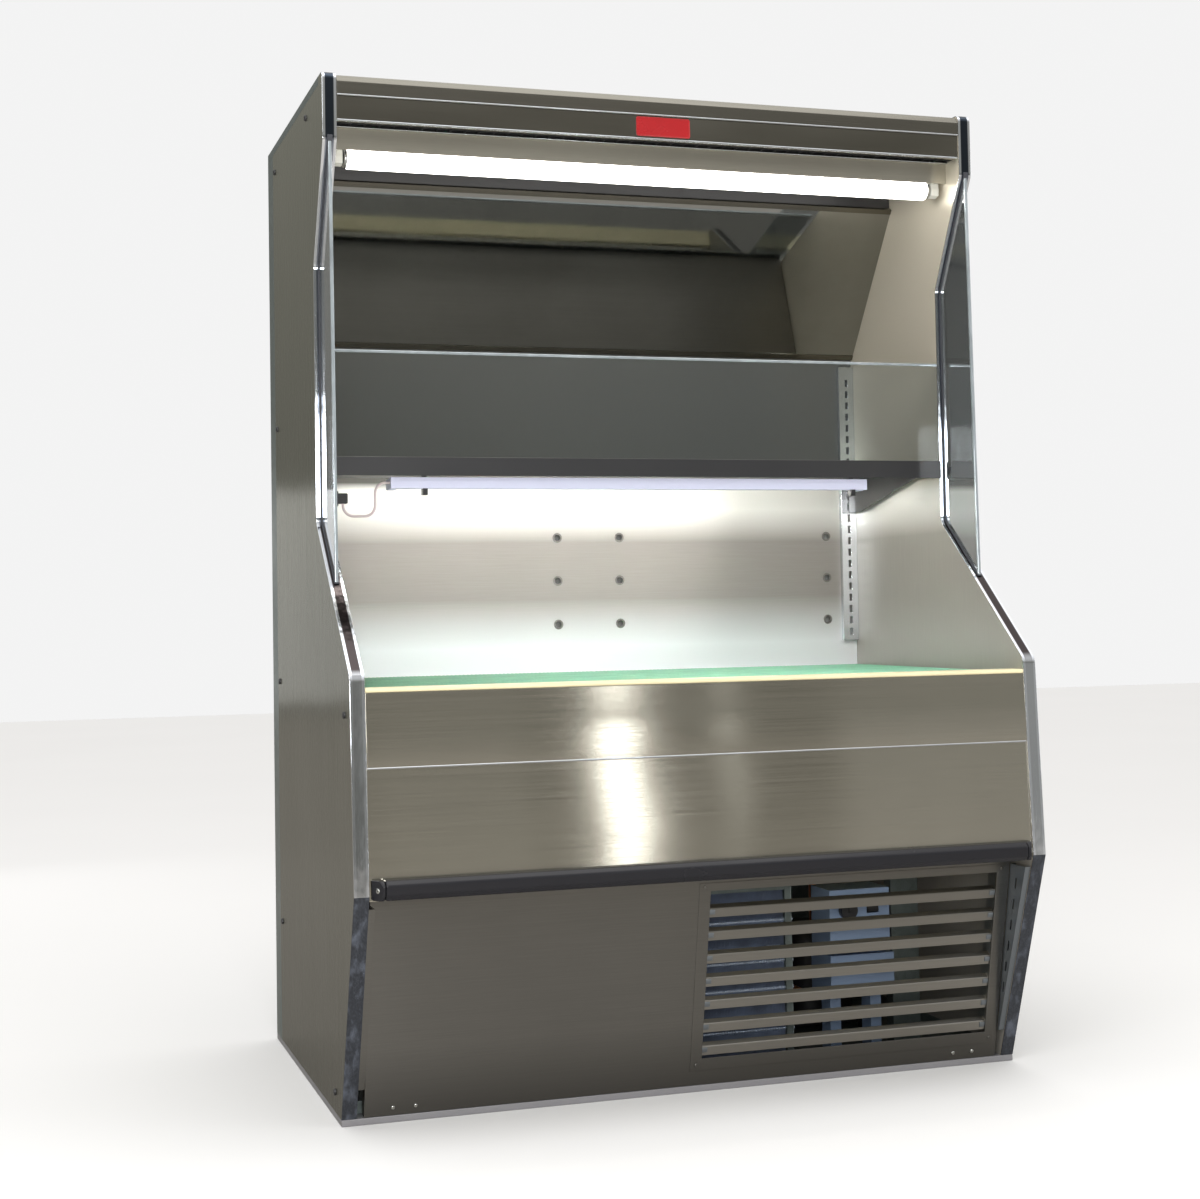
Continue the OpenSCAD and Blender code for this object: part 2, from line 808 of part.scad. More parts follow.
// Section of the bumper rail in the side view
module bumper_section(grow) {
    s1 = face_s(bump_z) + edge_t + sheet - 1 - 0.4;
    c = bump_out * 0.34;
    polygon([
        [s1, bump_z + 1 - grow], [c - bump_out, bump_z + 1 - grow],
        [-bump_out - grow, bump_z + c + 2], [-bump_out - grow, bump_z + bump_h - c],
        [c - bump_out, bump_z + bump_h + grow], [s1, bump_z + bump_h + grow]
    ]);
}

module bumper_rail() {
    color(black) placed() across(-cap_x, cap_x) bumper_section(0);
}

// Chamfered end of the rail with two screws
module bumper_end_caps() {
    s1 = face_s(bump_z) + edge_t + sheet - 1 - 0.4;
    color(black) placed() for (side = [-1, 1]) on_side(side) {
        intersection() {
            across(cap_x + gap, fit_x - 2) bumper_section(0);
            linear_extrude(height = case_h) polygon([
                [cap_x + gap, s1 + 1], [cap_x + gap, -bump_out - 1], [cap_x + 6, -bump_out - 1],
                [cap_x + 6, -bump_out], [fit_x - 4, -2], [fit_x - 2, s1 + 1]
            ]);
        }
    }
}

// Lower front panel

low_z0 = base_t + gap;
low_z1 = bump_z - sheet / 2 - 6;
low_l = norm([low_foot_set - low_top_set, low_z1 - low_z0]);
low_a = atan2(low_foot_set - low_top_set, low_z1 - low_z0);
low_depth = 18;
grille_v0 = 50;
grille_v1 = 366;

// Frame of the leaning panel: Y into the case, Z up along the panel
module low_frame() {
    translate([0, low_foot_set, low_z0]) rotate([low_a, 0, 0]) children();
}

module lower_front_panel() {
    color(steel) placed() low_frame() difference() {
        block([-low_x, low_x], [0, low_depth], [0, low_l]);
        block([sheet - low_x, low_x - sheet], [sheet, low_depth + 1],
            [sheet, low_l - sheet]);
        block([grille_x0, grille_x1], [-1, sheet + 1], [grille_v0, grille_v1]);
    }
}

// One louvre in the side view of the leaning panel
module louvre() {
    t = 1.6;
    polygon([
        [4, 0], [4, 15], [26, 27], [26, 27 + t], [4 - t, 15 + t], [4 - t, 0]
    ]);
}

// Louvres between two side plates, held behind the opening
module grille_louvres() {
    pitch = (grille_v1 - grille_v0 - 12) / louvres;
    color(bright) placed() low_frame() {
        for (i = [0:louvres - 1])
            translate([0, 0, grille_v0 + 5 + i * pitch])
                across(grille_x0 - 1, grille_x1 + 1) louvre();
        for (x = [grille_x0 - 3, grille_x1])
            block([x, x + 3], [sheet + gap, 30], [grille_v0 + 2, grille_v1 - 2]);
    }
}

// Tapered slotted channels on the inner faces, between the front edge and the panel
module hanger_channels() {
    t = 11;
    wall = 1.5;
    z0 = base_t + 52;
    z1 = low_z1 - 8;
    out = [
        [kick_s(z1) + 3, z1], [kick_s(z0) + 3, z0], [low_s(z0) - 0.6, z0],
        [low_s(z1) - 0.6, z1]
    ];
    pitch = 42;
    mid = [(out[0] + out[3]) / 2, (out[1] + out[2]) / 2];
    run = unit(mid[1] - mid[0]);
    color(bright) placed() for (side = [-1, 1]) on_side(side) difference() {
        across(fit_x - t, fit_x) polygon(out);
        across(fit_x - t + wall, fit_x + 1) polygon([
            out[0] + [wall, 1], [kick_s(z0 + 60) + 3 + wall, z0 + 60],
            [low_s(z0 + 60) - 0.6 - wall, z0 + 60], out[3] + [-wall, 1]
        ]);
        for (i = [0:5]) across(fit_x - t - 1, fit_x - t + wall + 1)
            translate(mid[0] + run * (26 + i * pitch)) rotate(atan2(run[1], run[0]))
                rect([0, 20], [-2.5, 2.5]);
    }
}

// Condensing unit

floor_z = base_t + gap + sheet + gap;
coil_x = [grille_x1 - 733, grille_x1 - 363];
coil_s = [200, 238];
coil_z1 = 352;
fan_x = (coil_x[0] + coil_x[1]) / 2;
fan_z = 190;
fan_s = coil_s[1] + 44;
shroud_d = 70;

module condenser_coil() {
    fins = 36;
    pitch = (coil_x[1] - coil_x[0] - 12) / fins;
    color(dark_steel) placed() {
        for (x = [coil_x[0], coil_x[1] - 14])
            block([x, x + 14], coil_s, [floor_z, coil_z1]);
        block([coil_x[0], coil_x[1]], coil_s, [floor_z, floor_z + 8]);
        block([coil_x[0], coil_x[1]], coil_s, [coil_z1 - 8, coil_z1]);
        block([coil_x[0] + 13, coil_x[1] - 13], [coil_s[0] + 14, coil_s[1] - 8],
            [floor_z + 7, coil_z1 - 7]);
        for (i = [0:fins - 1])
            block([coil_x[0] + 12 + i * pitch, coil_x[0] + 13.2 + i * pitch],
                [coil_s[0] + 3, coil_s[1] - 2], [floor_z + 6, coil_z1 - 6]);
    }
}

// Box behind the coil with the fan ring and the motor on its cross
module condenser_shroud() {
    s0 = coil_s[1] + gap;
    s1 = s0 + shroud_d;
    motor_d = 84;
    color(galvanised) placed() {
        difference() {
            union() {
                difference() {
                    block(coil_x, [s0, s1], [floor_z, coil_z1]);
                    block([coil_x[0] + sheet, coil_x[1] - sheet], [s0 - 1, s1 - sheet],
                        [floor_z + sheet, coil_z1 - sheet]);
                }
                rod_y(fan_x, s1 - 34, s1 - 1, fan_z, fan_d + 20);
            }
            rod_y(fan_x, s1 - 36, s1 + 2, fan_z, fan_d + 16);
        }
        rod_y(fan_x, s1 + 9, s1 + 96, fan_z, motor_d);
        for (a = [45, 135]) translate([fan_x, s1 + 5, fan_z]) rotate([0, a, 0])
            cube([fan_d + 60, 12, 12], center = true);
    }
    color(bright) placed() rod_y(fan_x, fan_s - 14, s1 + 3, fan_z, 8);
}

// Hub with a bore and pitched blades
module fan_wheel(d, hub_d, blades, depth, bore) {
    rotate([-90, 0, 0]) difference() {
        union() {
            cylinder(d = hub_d, h = depth, center = true);
            for (i = [0:blades - 1]) rotate([0, 0, i * 360 / blades])
                intersection() {
                    translate([d / 4, 0, 0]) rotate([28, 0, 0])
                        cube([d / 2, d * 0.30, 1.6], center = true);
                    cylinder(d = d, h = depth * 3, center = true);
                }
        }
        cylinder(d = bore, h = depth * 4, center = true);
    }
}

module condenser_fan() {
    color(black) placed() translate([fan_x, fan_s, fan_z])
        fan_wheel(fan_d, 46, 5, 20, 8 + 2 * shaft_fit);
}

comp_x = grille_x1 - 188;
comp_s = 520;

module compressor() {
    r = comp_d / 2;
    foot_z = floor_z;
    body_z = foot_z + 26;
    line_x = coil_x[1] + 22;
    line_d = 10;
    color(black) placed() translate([comp_x, comp_s, 0]) {
        translate([0, 0, body_z]) cylinder(d = comp_d, h = 130);
        translate([0, 0, body_z + 130]) intersection() {
            sphere(d = comp_d);
            cylinder(d = comp_d + 1, h = r * 0.62);
        }
        translate([0, 0, foot_z + 14]) linear_extrude(height = 14)
            square([comp_d + 50, comp_d - 30], center = true);
        for (x = [-1, 1]) for (y = [-1, 1])
            translate([x * (r + 10), y * (r - 30), foot_z]) cylinder(d = 26, h = 15);
        translate([-r - 18, -34, body_z + 30]) cube([40, 68, 62]);
    }
    // Discharge line to the condenser and suction line up to the tank
    color(copper) placed() {
        rod_x(line_x, comp_x - r * 0.6, comp_s - 50, body_z + 110, line_d);
        rod_y(line_x, coil_s[0] + 19, comp_s - 50, body_z + 110, line_d);
        rod_x(coil_x[1] + gap, line_x, coil_s[0] + 19, body_z + 110, line_d);
        for (s = [coil_s[0] + 19, comp_s - 50])
            translate([line_x, s, body_z + 110]) sphere(d = line_d);
        translate([comp_x + 20, comp_s + 20, body_z + 120])
            cylinder(d = 16, h = tank_z - foam_t - gap - body_z - 120);
    }
}

box_x = [grille_x1 - 278, grille_x1 - 153];
box_s = [215, 300];
box_z = [216, 334];
knob_at = [box_x[0] + 35, box_z[1] - 38];
switch_at = [box_x[0] + 90, box_z[1] - 38];
term_x = [box_x[0] + 7, box_x[1] + 15];
term_s = [box_s[0] + 15, box_s[1] + 20];
term_z = [128, 207];
shaft_d = 9;
rocker_w = 24;
rocker_d = 17;
pin_d = 3;

// Control box on its post, with the lower terminal box
module electrical_box() {
    color([0.50, 0.58, 0.66]) placed() {
        difference() {
            block(box_x, box_s, box_z);
            rod_y(knob_at[0], box_s[0] - 1, box_s[0] + 12, knob_at[1], shaft_d);
            block([switch_at[0] - rocker_w / 2 - 0.5, switch_at[0] + rocker_w / 2 + 0.5],
                [box_s[0] - 1, box_s[0] + 16],
                [switch_at[1] - rocker_d / 2 - 0.6, switch_at[1] + rocker_d / 2 + 0.6]);
        }
        rod_x(switch_at[0] - rocker_w / 2 - 1, switch_at[0] + rocker_w / 2 + 1,
            box_s[0] + 5, switch_at[1], pin_d);
        block(term_x, term_s, term_z);
        for (x = [box_x[0] + 13, box_x[1] - 27])
            block([x, x + 22], [term_s[0] + 20, term_s[0] + 60], [floor_z, box_z[0] + 1]);
    }
    color(bright) placed() for (i = [0:2])
        rod_y(term_x[0] + 20 + i * 36, term_s[0] - 8, term_s[0] + 2, term_z[0] + 14, 12);
}

module thermostat_knob() {
    face = box_s[0] - gap;
    color(black) placed() {
        rod_y(knob_at[0], face - 16, face, knob_at[1], 34);
        rod_y(knob_at[0], face - 1, box_s[0] + 11, knob_at[1], shaft_d - 2 * shaft_fit);
        block([knob_at[0] - 3, knob_at[0] + 3], [face - 20, face - 15],
            [knob_at[1] - 4, knob_at[1] + 15]);
    }
}

// Rocker on a pin across its opening, resting with its upper half pressed
module light_switch() {
    color(black) placed() translate([switch_at[0], box_s[0] + 5, switch_at[1]])
        rotate([-8, 0, 0]) difference() {
            rotate([0, 90, 0]) cylinder(d = rocker_d, h = rocker_w, center = true);
            across(-rocker_w, rocker_w) polygon([
                [-rocker_d, -rocker_d], [-rocker_d * 0.42, -rocker_d * 0.28],
                [-rocker_d * 0.34, 0], [-rocker_d * 0.42, rocker_d * 0.28], [-rocker_d, rocker_d]
            ]);
            rotate([0, 90, 0]) cylinder(d = pin_d + 2 * shaft_fit, h = rocker_w + 2,
                center = true);
        }
}

// Evaporator section

evap_x = [-500, 500];
evap_s = [330, 470];
evap_fan_x = 270;
evap_fan_z = 606;
plate_s = 236;

module evaporator_coil() {
    z0 = tank_z + gap;
    fins = 40;
    pitch = (evap_x[1] - evap_x[0] - 10) / fins;
    color([0.70, 0.72, 0.73]) placed() {
        for (x = [evap_x[0], evap_x[1] - 3])
            block([x, x + 3], evap_s, [z0, z0 + 190]);
        block([evap_x[0] + 2, evap_x[1] - 2], [evap_s[0] + 12, evap_s[1] - 12],
            [z0 + 16, z0 + 180]);
        for (i = [1:fins - 1])
            block([evap_x[0] + 4 + i * pitch, evap_x[0] + 5.2 + i * pitch],
                [evap_s[0] + 2, evap_s[1] - 2], [z0 + 8, z0 + 188]);
    }
}

// Plate across the tank with a ring and a motor for each fan
module evap_fan_plate() {
    z0 = tank_z + gap;
    z1 = deck_z - sheet - gap;
    color(galvanised) placed() {
        difference() {
            across(-fit_x, fit_x) {
                rect([plate_s, plate_s + sheet], [z0, z1]);
                rect([plate_s, plate_s + 22], [z1 - sheet, z1]);
                rect([plate_s, plate_s + 22], [z0, z0 + sheet]);
            }
            for (x = [-evap_fan_x, evap_fan_x])
                rod_y(x, plate_s - 1, plate_s + sheet + 1, evap_fan_z, evap_d + 10);
        }
        for (x = [-evap_fan_x, evap_fan_x]) {
            rod_y(x, plate_s + 30, plate_s + 76, evap_fan_z, 64);
            block([x - evap_d / 2 - 20, x + evap_d / 2 + 20], [plate_s + 22, plate_s + 31],
                [evap_fan_z - 7, evap_fan_z + 7]);
            for (k = [-1, 1])
                block([x + k * (evap_d / 2 + 13) - 7, x + k * (evap_d / 2 + 13) + 7],
                    [plate_s + sheet / 2, plate_s + 31], [evap_fan_z - 7, evap_fan_z + 7]);
            rod_y(x, plate_s - 8, plate_s + 31, evap_fan_z, 6);
        }
    }
}

module evap_fan(side) {
    color(black) placed() translate([side * evap_fan_x, plate_s + 4, evap_fan_z])
        fan_wheel(evap_d, 36, 4, 16, 6 + 2 * shaft_fit);
}

base_plate();
base_pan();
end_panel(-1);  // end_panel_left
end_panel(1);  // end_panel_right
side_skin(-1);  // side_skin_left
side_skin(1);  // side_skin_right
edge_trim(-1);  // edge_trim_left
edge_trim(1);  // edge_trim_right
kick_strips();
clear_wing(-1);  // clear_wing_left
clear_wing(1);  // clear_wing_right
panel_screws();
rear_casing();
insulation();
top_cover();
canopy_shell();
canopy_fascia();
air_honeycomb();
lamp_valance();
canopy_liner();
canopy_lamp();
canopy_lampholders();
mirror_glass();
mirror_retainers();
inner_back_wall();
shelf_standards();
shelf_bracket(-1);  // shelf_bracket_left
shelf_bracket(1);  // shelf_bracket_right
shelf_panel();
shelf_guard();
shelf_lamp_housing();
shelf_lamp_tube();
shelf_lamp_lead();
lamp_socket();
tank_liner();
tank_rails();
return_grille();
deck_pan(-1);  // deck_pan_left
deck_pan(1);  // deck_pan_right
deck_mat(-1);  // deck_mat_left
deck_mat(1);  // deck_mat_right
front_nosing();
front_panel_upper();
front_panel_middle();
bumper_rail();
bumper_end_caps();
lower_front_panel();
grille_louvres();
hanger_channels();
condenser_coil();
condenser_shroud();
condenser_fan();
compressor();
electrical_box();
thermostat_knob();
light_switch();
evaporator_coil();
evap_fan_plate();
evap_fan(-1);  // evap_fan_left
evap_fan(1);  // evap_fan_right
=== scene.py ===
"""Looks of an open-front refrigerated display case with a lit canopy, a mirror and one shelf."""

import json
import math
from contextlib import contextmanager

import bmesh
import bpy
from bpy.props import FloatProperty, FloatVectorProperty, IntProperty, PointerProperty
from mathutils import Matrix, Vector

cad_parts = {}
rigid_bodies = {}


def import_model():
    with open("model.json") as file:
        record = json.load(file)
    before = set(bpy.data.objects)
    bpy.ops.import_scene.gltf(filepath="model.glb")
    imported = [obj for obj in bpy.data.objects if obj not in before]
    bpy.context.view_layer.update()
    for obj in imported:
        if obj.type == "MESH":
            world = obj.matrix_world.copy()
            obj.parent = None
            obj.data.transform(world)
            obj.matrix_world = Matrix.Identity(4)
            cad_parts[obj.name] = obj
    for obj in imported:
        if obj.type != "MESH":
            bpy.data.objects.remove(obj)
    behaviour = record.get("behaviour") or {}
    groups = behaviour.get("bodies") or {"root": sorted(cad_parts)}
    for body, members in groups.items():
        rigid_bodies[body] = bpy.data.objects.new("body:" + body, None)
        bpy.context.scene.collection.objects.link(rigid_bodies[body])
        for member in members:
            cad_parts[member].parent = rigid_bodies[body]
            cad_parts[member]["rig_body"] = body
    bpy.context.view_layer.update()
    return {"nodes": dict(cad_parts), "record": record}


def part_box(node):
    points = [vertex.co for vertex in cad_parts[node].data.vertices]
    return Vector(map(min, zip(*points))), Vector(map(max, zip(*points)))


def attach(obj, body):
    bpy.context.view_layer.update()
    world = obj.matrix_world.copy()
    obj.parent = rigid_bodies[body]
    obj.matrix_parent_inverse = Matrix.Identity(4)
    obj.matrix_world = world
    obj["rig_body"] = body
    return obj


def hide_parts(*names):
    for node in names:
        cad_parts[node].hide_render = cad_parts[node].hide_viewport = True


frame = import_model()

bl_info = {
    "name": "Refrigerated Display Case",
    "version": (1, 0, 0),
    "blender": (4, 5, 0),
    "location": "View3D > Sidebar > Display Case",
    "description": "Dresses the pieces of an open-front refrigerated display case",
    "category": "Object",
}

SIDES = {"left": -1, "right": 1}
# Foremost line of the end panels, and the face of the inner back wall behind it
NOSE_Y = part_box("edge_trim_left")[0].y
WALL_Y = NOSE_Y + 0.732
# Half the clear width between the end panels
INNER_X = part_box("edge_trim_right")[0].x
# Half the side of the studio floor
FLOOR_REACH = 14.0
# Points of a solid nearer than this are one
SAME = 0.00001
LEAD_WIDTH = 0.005
LOUVRES = 7


def shade(red, green, blue):
    """Linear colour of a screen colour given from 0 to 255."""
    parts = [v / 255 for v in (red, green, blue)]
    return tuple(v / 12.92 if v <= 0.04045 else ((v + 0.055) / 1.055) ** 2.4 for v in parts)


def colour_choice(name, description, default):
    return FloatVectorProperty(
        name=name, description=description, subtype="COLOR", size=3, min=0, max=1, default=default
    )


def number_choice(name, description, default, most, unit="LENGTH"):
    return FloatProperty(
        name=name, description=description, default=default, min=0, max=most, unit=unit
    )


class CaseColours(bpy.types.PropertyGroup):
    """Colours of the finishes"""

    front_steel: colour_choice(
        "Front steel", "Brushed sheet of the well front and the canopy", shade(194, 190, 177)
    )
    side_steel: colour_choice(
        "Side steel", "Brushed skin of the end panels", shade(160, 160, 147)
    )
    lower_steel: colour_choice(
        "Lower steel", "Duller sheet of the lower front panel", shade(134, 132, 127)
    )
    wall_steel: colour_choice(
        "Wall steel", "Inner back wall at the height of the air holes", shade(164, 158, 153)
    )
    trim: colour_choice("Trim", "Polished strips along the front edges", shade(214, 218, 222))
    galvanised: colour_choice("Casing", "Rear casing and top cover", shade(118, 128, 126))
    base: colour_choice("Base", "Painted base plate", shade(146, 145, 148))
    kick: colour_choice("Kick strip", "Textured strip on the foot edges", shade(62, 66, 74))
    shelf: colour_choice("Shelf", "Satin shelf and its brackets", shade(44, 44, 46))
    batten: colour_choice("Lamp batten", "Enamel of the shelf lamp", shade(206, 208, 230))
    mat: colour_choice("Mat", "Net mats on the deck", shade(132, 194, 162))
    nosing: colour_choice("Nosing", "Cream strip on the well front", shade(240, 228, 186))
    bumper: colour_choice("Bumper", "Bumper rail and its end caps", shade(32, 32, 36))
    plate: colour_choice("Front plate", "Plain enamel plate on the canopy", shade(168, 24, 30))
    control: colour_choice("Control box", "Paint of the control box", shade(124, 144, 172))
    lamp: colour_choice("Lamp light", "Light of both tubes", (1.0, 0.975, 0.92))


class CaseSizes(bpy.types.PropertyGroup):
    """Sizes of the small details"""

    rounding: number_choice("Edge rounding", "Radius of the sheet edges", 0.0007, 0.002)
    hem: number_choice("Hem", "Diameter of the rolled sheet edges", 0.0044, 0.01)
    edging: number_choice("Wing edging", "Width of the edging of the clear wings", 0.0066, 0.02)
    rivet: number_choice("Rivet", "Diameter of the rivet heads", 0.009, 0.02)
    mesh_pitch: number_choice("Mat pitch", "Distance between the strands of a mat", 0.0085, 0.03)
    mesh_strand: number_choice("Mat strand", "Thickness of a strand of a mat", 0.0022, 0.006)
    crease: number_choice("Crease", "Depth of the creases of the upper panel", 0.0026, 0.004)
    fins: IntProperty(
        name="Coil fins", description="Number of fins of the condenser coil",
        default=110, min=20, max=200,
    )


class CaseLights(bpy.types.PropertyGroup):
    """Strengths of the lamps and of the studio lights"""

    canopy_lamp: number_choice("Canopy lamp", "Glow of the canopy tube", 7.0, 80, "NONE")
    shelf_lamp: number_choice("Shelf lamp", "Glow of the shelf tube", 58.0, 400, "NONE")
    surround: number_choice("Surround", "Strength of the even studio light", 1.0, 4, "NONE")
    key: number_choice("Key light", "Power of the large soft light", 60.0, 2000, "POWER")
    strip: number_choice("Strip light", "Power of the upright strip lights", 1.8, 800, "POWER")
    front: number_choice("Front light", "Power of the small light in front", 46.0, 800, "POWER")


# Selecting and shaping


def let_go():
    """Leaves edit mode and selects nothing."""
    if bpy.context.object and bpy.context.object.mode != "OBJECT":
        bpy.ops.object.mode_set(mode="OBJECT")
    bpy.ops.object.select_all(action="DESELECT")


def pick(piece):
    """Selects one piece and nothing else."""
    let_go()
    piece.select_set(True)
    bpy.context.view_layer.objects.active = piece


def choose(piece, kind, rule):
    """Selects the faces, edges or points that the rule accepts."""
    mesh = bmesh.from_edit_mesh(piece.data)
    for part in {"FACE": mesh.faces, "EDGE": mesh.edges, "VERT": mesh.verts}[kind]:
        part.select_set(bool(rule(part)))
    mesh.select_flush_mode()
    bmesh.update_edit_mesh(piece.data)


@contextmanager
def editing(piece, kind="FACE", rule=None):
    """Edit mode on one piece with only those parts selected that the rule accepts."""
    pick(piece)
    bpy.ops.object.mode_set(mode="EDIT")
    bpy.ops.mesh.select_mode(type=kind)
    bpy.ops.mesh.select_all(action="DESELECT")
    if rule:
        choose(piece, kind, rule)
    yield
    bpy.ops.object.mode_set(mode="OBJECT")


def middle(face):
    return sum((v.co for v in face.verts), Vector()) / len(face.verts)


def settle(name):
    """Gives the active piece its name and puts its place into its mesh."""
    piece = bpy.context.object
    piece.name = piece.data.name = name
    bpy.ops.object.transform_apply(location=True, rotation=True, scale=True)
    return piece


def block(name, low, high):
    """Box between two corners, the start of a flat piece."""
    let_go()
    low, high = Vector(low), Vector(high)
    bpy.ops.mesh.primitive_cube_add(size=1, location=(low + high) / 2, scale=high - low)
    return settle(name)


def rod(name, start, end, diameter, sides=24):
    """Round bar between two points, the start of a turned piece."""
    let_go()
    run = Vector(end) - Vector(start)
    bpy.ops.mesh.primitive_cylinder_add(
        vertices=sides, radius=diameter / 2, depth=run.length,
        location=Vector(start) + run / 2, rotation=run.to_track_quat("Z", "Y").to_euler(),
    )
    return settle(name)


def bar(name, left, right, y, z, diameter, sides=24):
    """Round bar along the width of the case."""
    return rod(name, (left, y, z), (right, y, z), diameter, sides)


def apply_modifier(piece, kind, **settings):
    """Adds one modifier with its settings and applies it."""
    pick(piece)
    modifier = piece.modifiers.new(kind.title(), kind)
    for key, value in settings.items():
        setattr(modifier, key, value)
    bpy.ops.object.modifier_apply(modifier=modifier.name)


def cut_away(piece, low, high):
    """Takes a box out of a piece."""
    cutter = block("cutter", low, high)
    apply_modifier(piece, "BOOLEAN", object=cutter, operation="DIFFERENCE")
    drop(cutter)


def even(piece, angle=35):
    """Smooth shading with sharp edges kept."""
    pick(piece)
    bpy.ops.object.shade_smooth_by_angle(angle=math.radians(angle))
    return piece


def soften(piece, width=None, segments=2, angle=32):
    """Rounds the sharp edges of a piece and evens its shading."""
    width = bpy.context.scene.case_sizes.rounding if width is None else width
    apply_modifier(
        piece, "BEVEL", width=width, segments=segments, limit_method="ANGLE",
        angle_limit=math.radians(angle), use_clamp_overlap=True,
    )
    even(piece)
    apply_modifier(piece, "WEIGHTED_NORMAL", keep_sharp=True)
    return piece


def round_end(piece, rule, width, segments=4):
    """Rounds the edges that the rule accepts."""
    with editing(piece, "EDGE", rule):
        bpy.ops.mesh.bevel(offset=width, segments=segments, affect="EDGES")
    return piece


def repeat(piece, count, step):
    """Row of copies of a piece in one mesh."""
    apply_modifier(
        piece, "ARRAY", count=count, use_relative_offset=False, use_constant_offset=True,
        constant_offset_displace=step,
    )
    return piece


def gather(pieces, name):
    """Joins like pieces into one."""
    let_go()
    for piece in pieces:
        piece.select_set(True)
    bpy.context.view_layer.objects.active = pieces[0]
    bpy.ops.object.join()
    return settle(name)


def drop(piece):
    bpy.data.objects.remove(piece, do_unlink=True)


def twin_of(piece, name):
    """Copy with its own mesh."""
    twin = bpy.data.objects.new(name, piece.data.copy())
    twin.data.name = name
    bpy.context.collection.objects.link(twin)
    return twin


def scatter(pattern, places, name):
    """One piece made of a copy of the pattern at each place."""
    pieces = []
    for place in places:
        pieces.append(twin_of(pattern, name + "_copy"))
        pieces[-1].data.transform(place)
    drop(pattern)
    return gather(pieces, name)


def facing(place, direction, spin=0.0):
    """Matrix that turns a piece made upwards to a direction and moves it to a place."""
    turn = Vector(direction).to_track_quat("Z", "Y").to_matrix().to_4x4()
    return Matrix.Translation(place) @ turn @ Matrix.Rotation(spin, 4, "Z")


# Pieces and the solids they stand for


def detail(piece, node, slot, *finishes):
    """Gives a piece its finishes in the order of its slots, and a node's body."""
    piece.data.materials.clear()
    for name in finishes:
        piece.data.materials.append(finish(name))
    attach(piece, frame["nodes"][node]["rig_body"])


def stand_in(piece, node, *finishes, slot=None):
    """Does what detail does, and lets the piece stand for the node's solid."""
    own = (part for part in frame["record"]["subparts"] if part["node"] == node)
    detail(piece, node, slot or next(own)["material_slot"], *finishes)
    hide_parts(node)


def touch_up(piece, rule):
    """Gives the faces that the rule accepts the second finish."""
    with editing(piece, "FACE", rule):
        piece.active_material_index = 1
        bpy.ops.object.material_slot_assign()


def merged(node, name):
    """Copy of a solid's mesh with its triangles joined to plain faces."""
    piece = twin_of(frame["nodes"][node], name)
    pick(piece)
    bpy.ops.mesh.customdata_custom_splitnormals_clear()
    with editing(piece):
        bpy.ops.mesh.select_all(action="SELECT")
        bpy.ops.mesh.remove_doubles(threshold=SAME)
        bpy.ops.mesh.dissolve_limited(angle_limit=math.radians(0.5))
    return piece


def dress(node, look, width=None, segments=2, angle=32, name=None, second=None, rule=None):
    """Stands in for a solid with the same shape, rounded edges and one or two finishes."""
    piece = soften(merged(node, name or node + "_dressed"), width, segments, angle)
    if second:
        stand_in(piece, node, look, second)
        touch_up(piece, rule)
    else:
        stand_in(piece, node, look)


def clad(node, look):
    """Gives a solid that stays as it is a finish."""
    for slot in frame["nodes"][node].material_slots:
        slot.material = finish(look)


def solids_in(node):
    """Lowest and highest corner of each separate solid of a node."""
    mesh = bmesh.new()
    mesh.from_mesh(frame["nodes"][node].data)
    bmesh.ops.remove_doubles(mesh, verts=mesh.verts, dist=SAME)
    waiting = set(mesh.verts)
    boxes = []
    for start in mesh.verts:
        if start not in waiting:
            continue
        waiting.remove(start)
        island = [start]
        for point in island:
            linked = waiting.intersection(v for edge in point.link_edges for v in edge.verts)
            waiting -= linked
            island += linked
        corners = [[v.co[axis] for v in island] for axis in range(3)]
        boxes.append((Vector([min(c) for c in corners]), Vector([max(c) for c in corners])))
    mesh.free()
    return boxes


# Small shapes that several pieces share


def ring(name, start, end, outer, inner, sides=32):
    """Flat ring with a round hole through it."""
    piece = rod(name, start, end, outer, sides)
    axis = (Vector(end) - Vector(start)).normalized()
    with editing(piece, "FACE", lambda face: abs(face.normal.dot(axis)) > 0.9):
        bpy.ops.mesh.inset(thickness=(outer - inner) / 2, use_individual=True)
        bpy.ops.mesh.bridge_edge_loops()
    return piece


def turned_head(name, diameter, foot, top, sides, width, segments):
    """Round head between two heights with its upper rim rounded."""
    head = rod(name, (0, 0, foot), (0, 0, top), diameter, sides)
    return round_end(
        head, lambda edge: all(v.co.z > top - SAME for v in edge.verts), width, segments
    )


def cross_screw(name, diameter, height):
    """Pan head with a crossed recess; its top is at the origin and faces up."""
    head = turned_head(name, diameter, -height, 0, 32, height * 0.55, 4)
    reach, half = diameter * 0.27, diameter * 0.055
    for x, y in ((reach, half), (half, reach)):
        cut_away(head, (-x, -y, -height * 0.55), (x, y, height))
    return even(head, 40)


def dome_rivet(name, diameter):
    """Low round head; its foot is at the origin and it faces up."""
    height = diameter * 0.28
    return even(turned_head(name, diameter, -0.0006, height, 24, height * 0.9, 5), 50)


def roll_hem(name, node, y, z, diameter):
    """Polished rolled edge across the clear width."""
    hem = bar(name, -INNER_X + 0.001, INNER_X - 0.001, y, z, diameter, 16)
    detail(even(hem, 50), node, "polished trim", "Polished trim")


# Shader building


def feed(node, inputs):
    """Sets inputs of a node; each is a value or another node's output."""
    for key, value in inputs.items():
        if isinstance(value, bpy.types.NodeSocket):
            node.id_data.links.new(value, node.inputs[key])
        else:
            node.inputs[key].default_value = value


def add_node(tree, kind, inputs=None, **settings):
    node = tree.nodes.new("ShaderNode" + kind)
    for key, value in settings.items():
        setattr(node, key, value)
    feed(node, inputs or {})
    return node


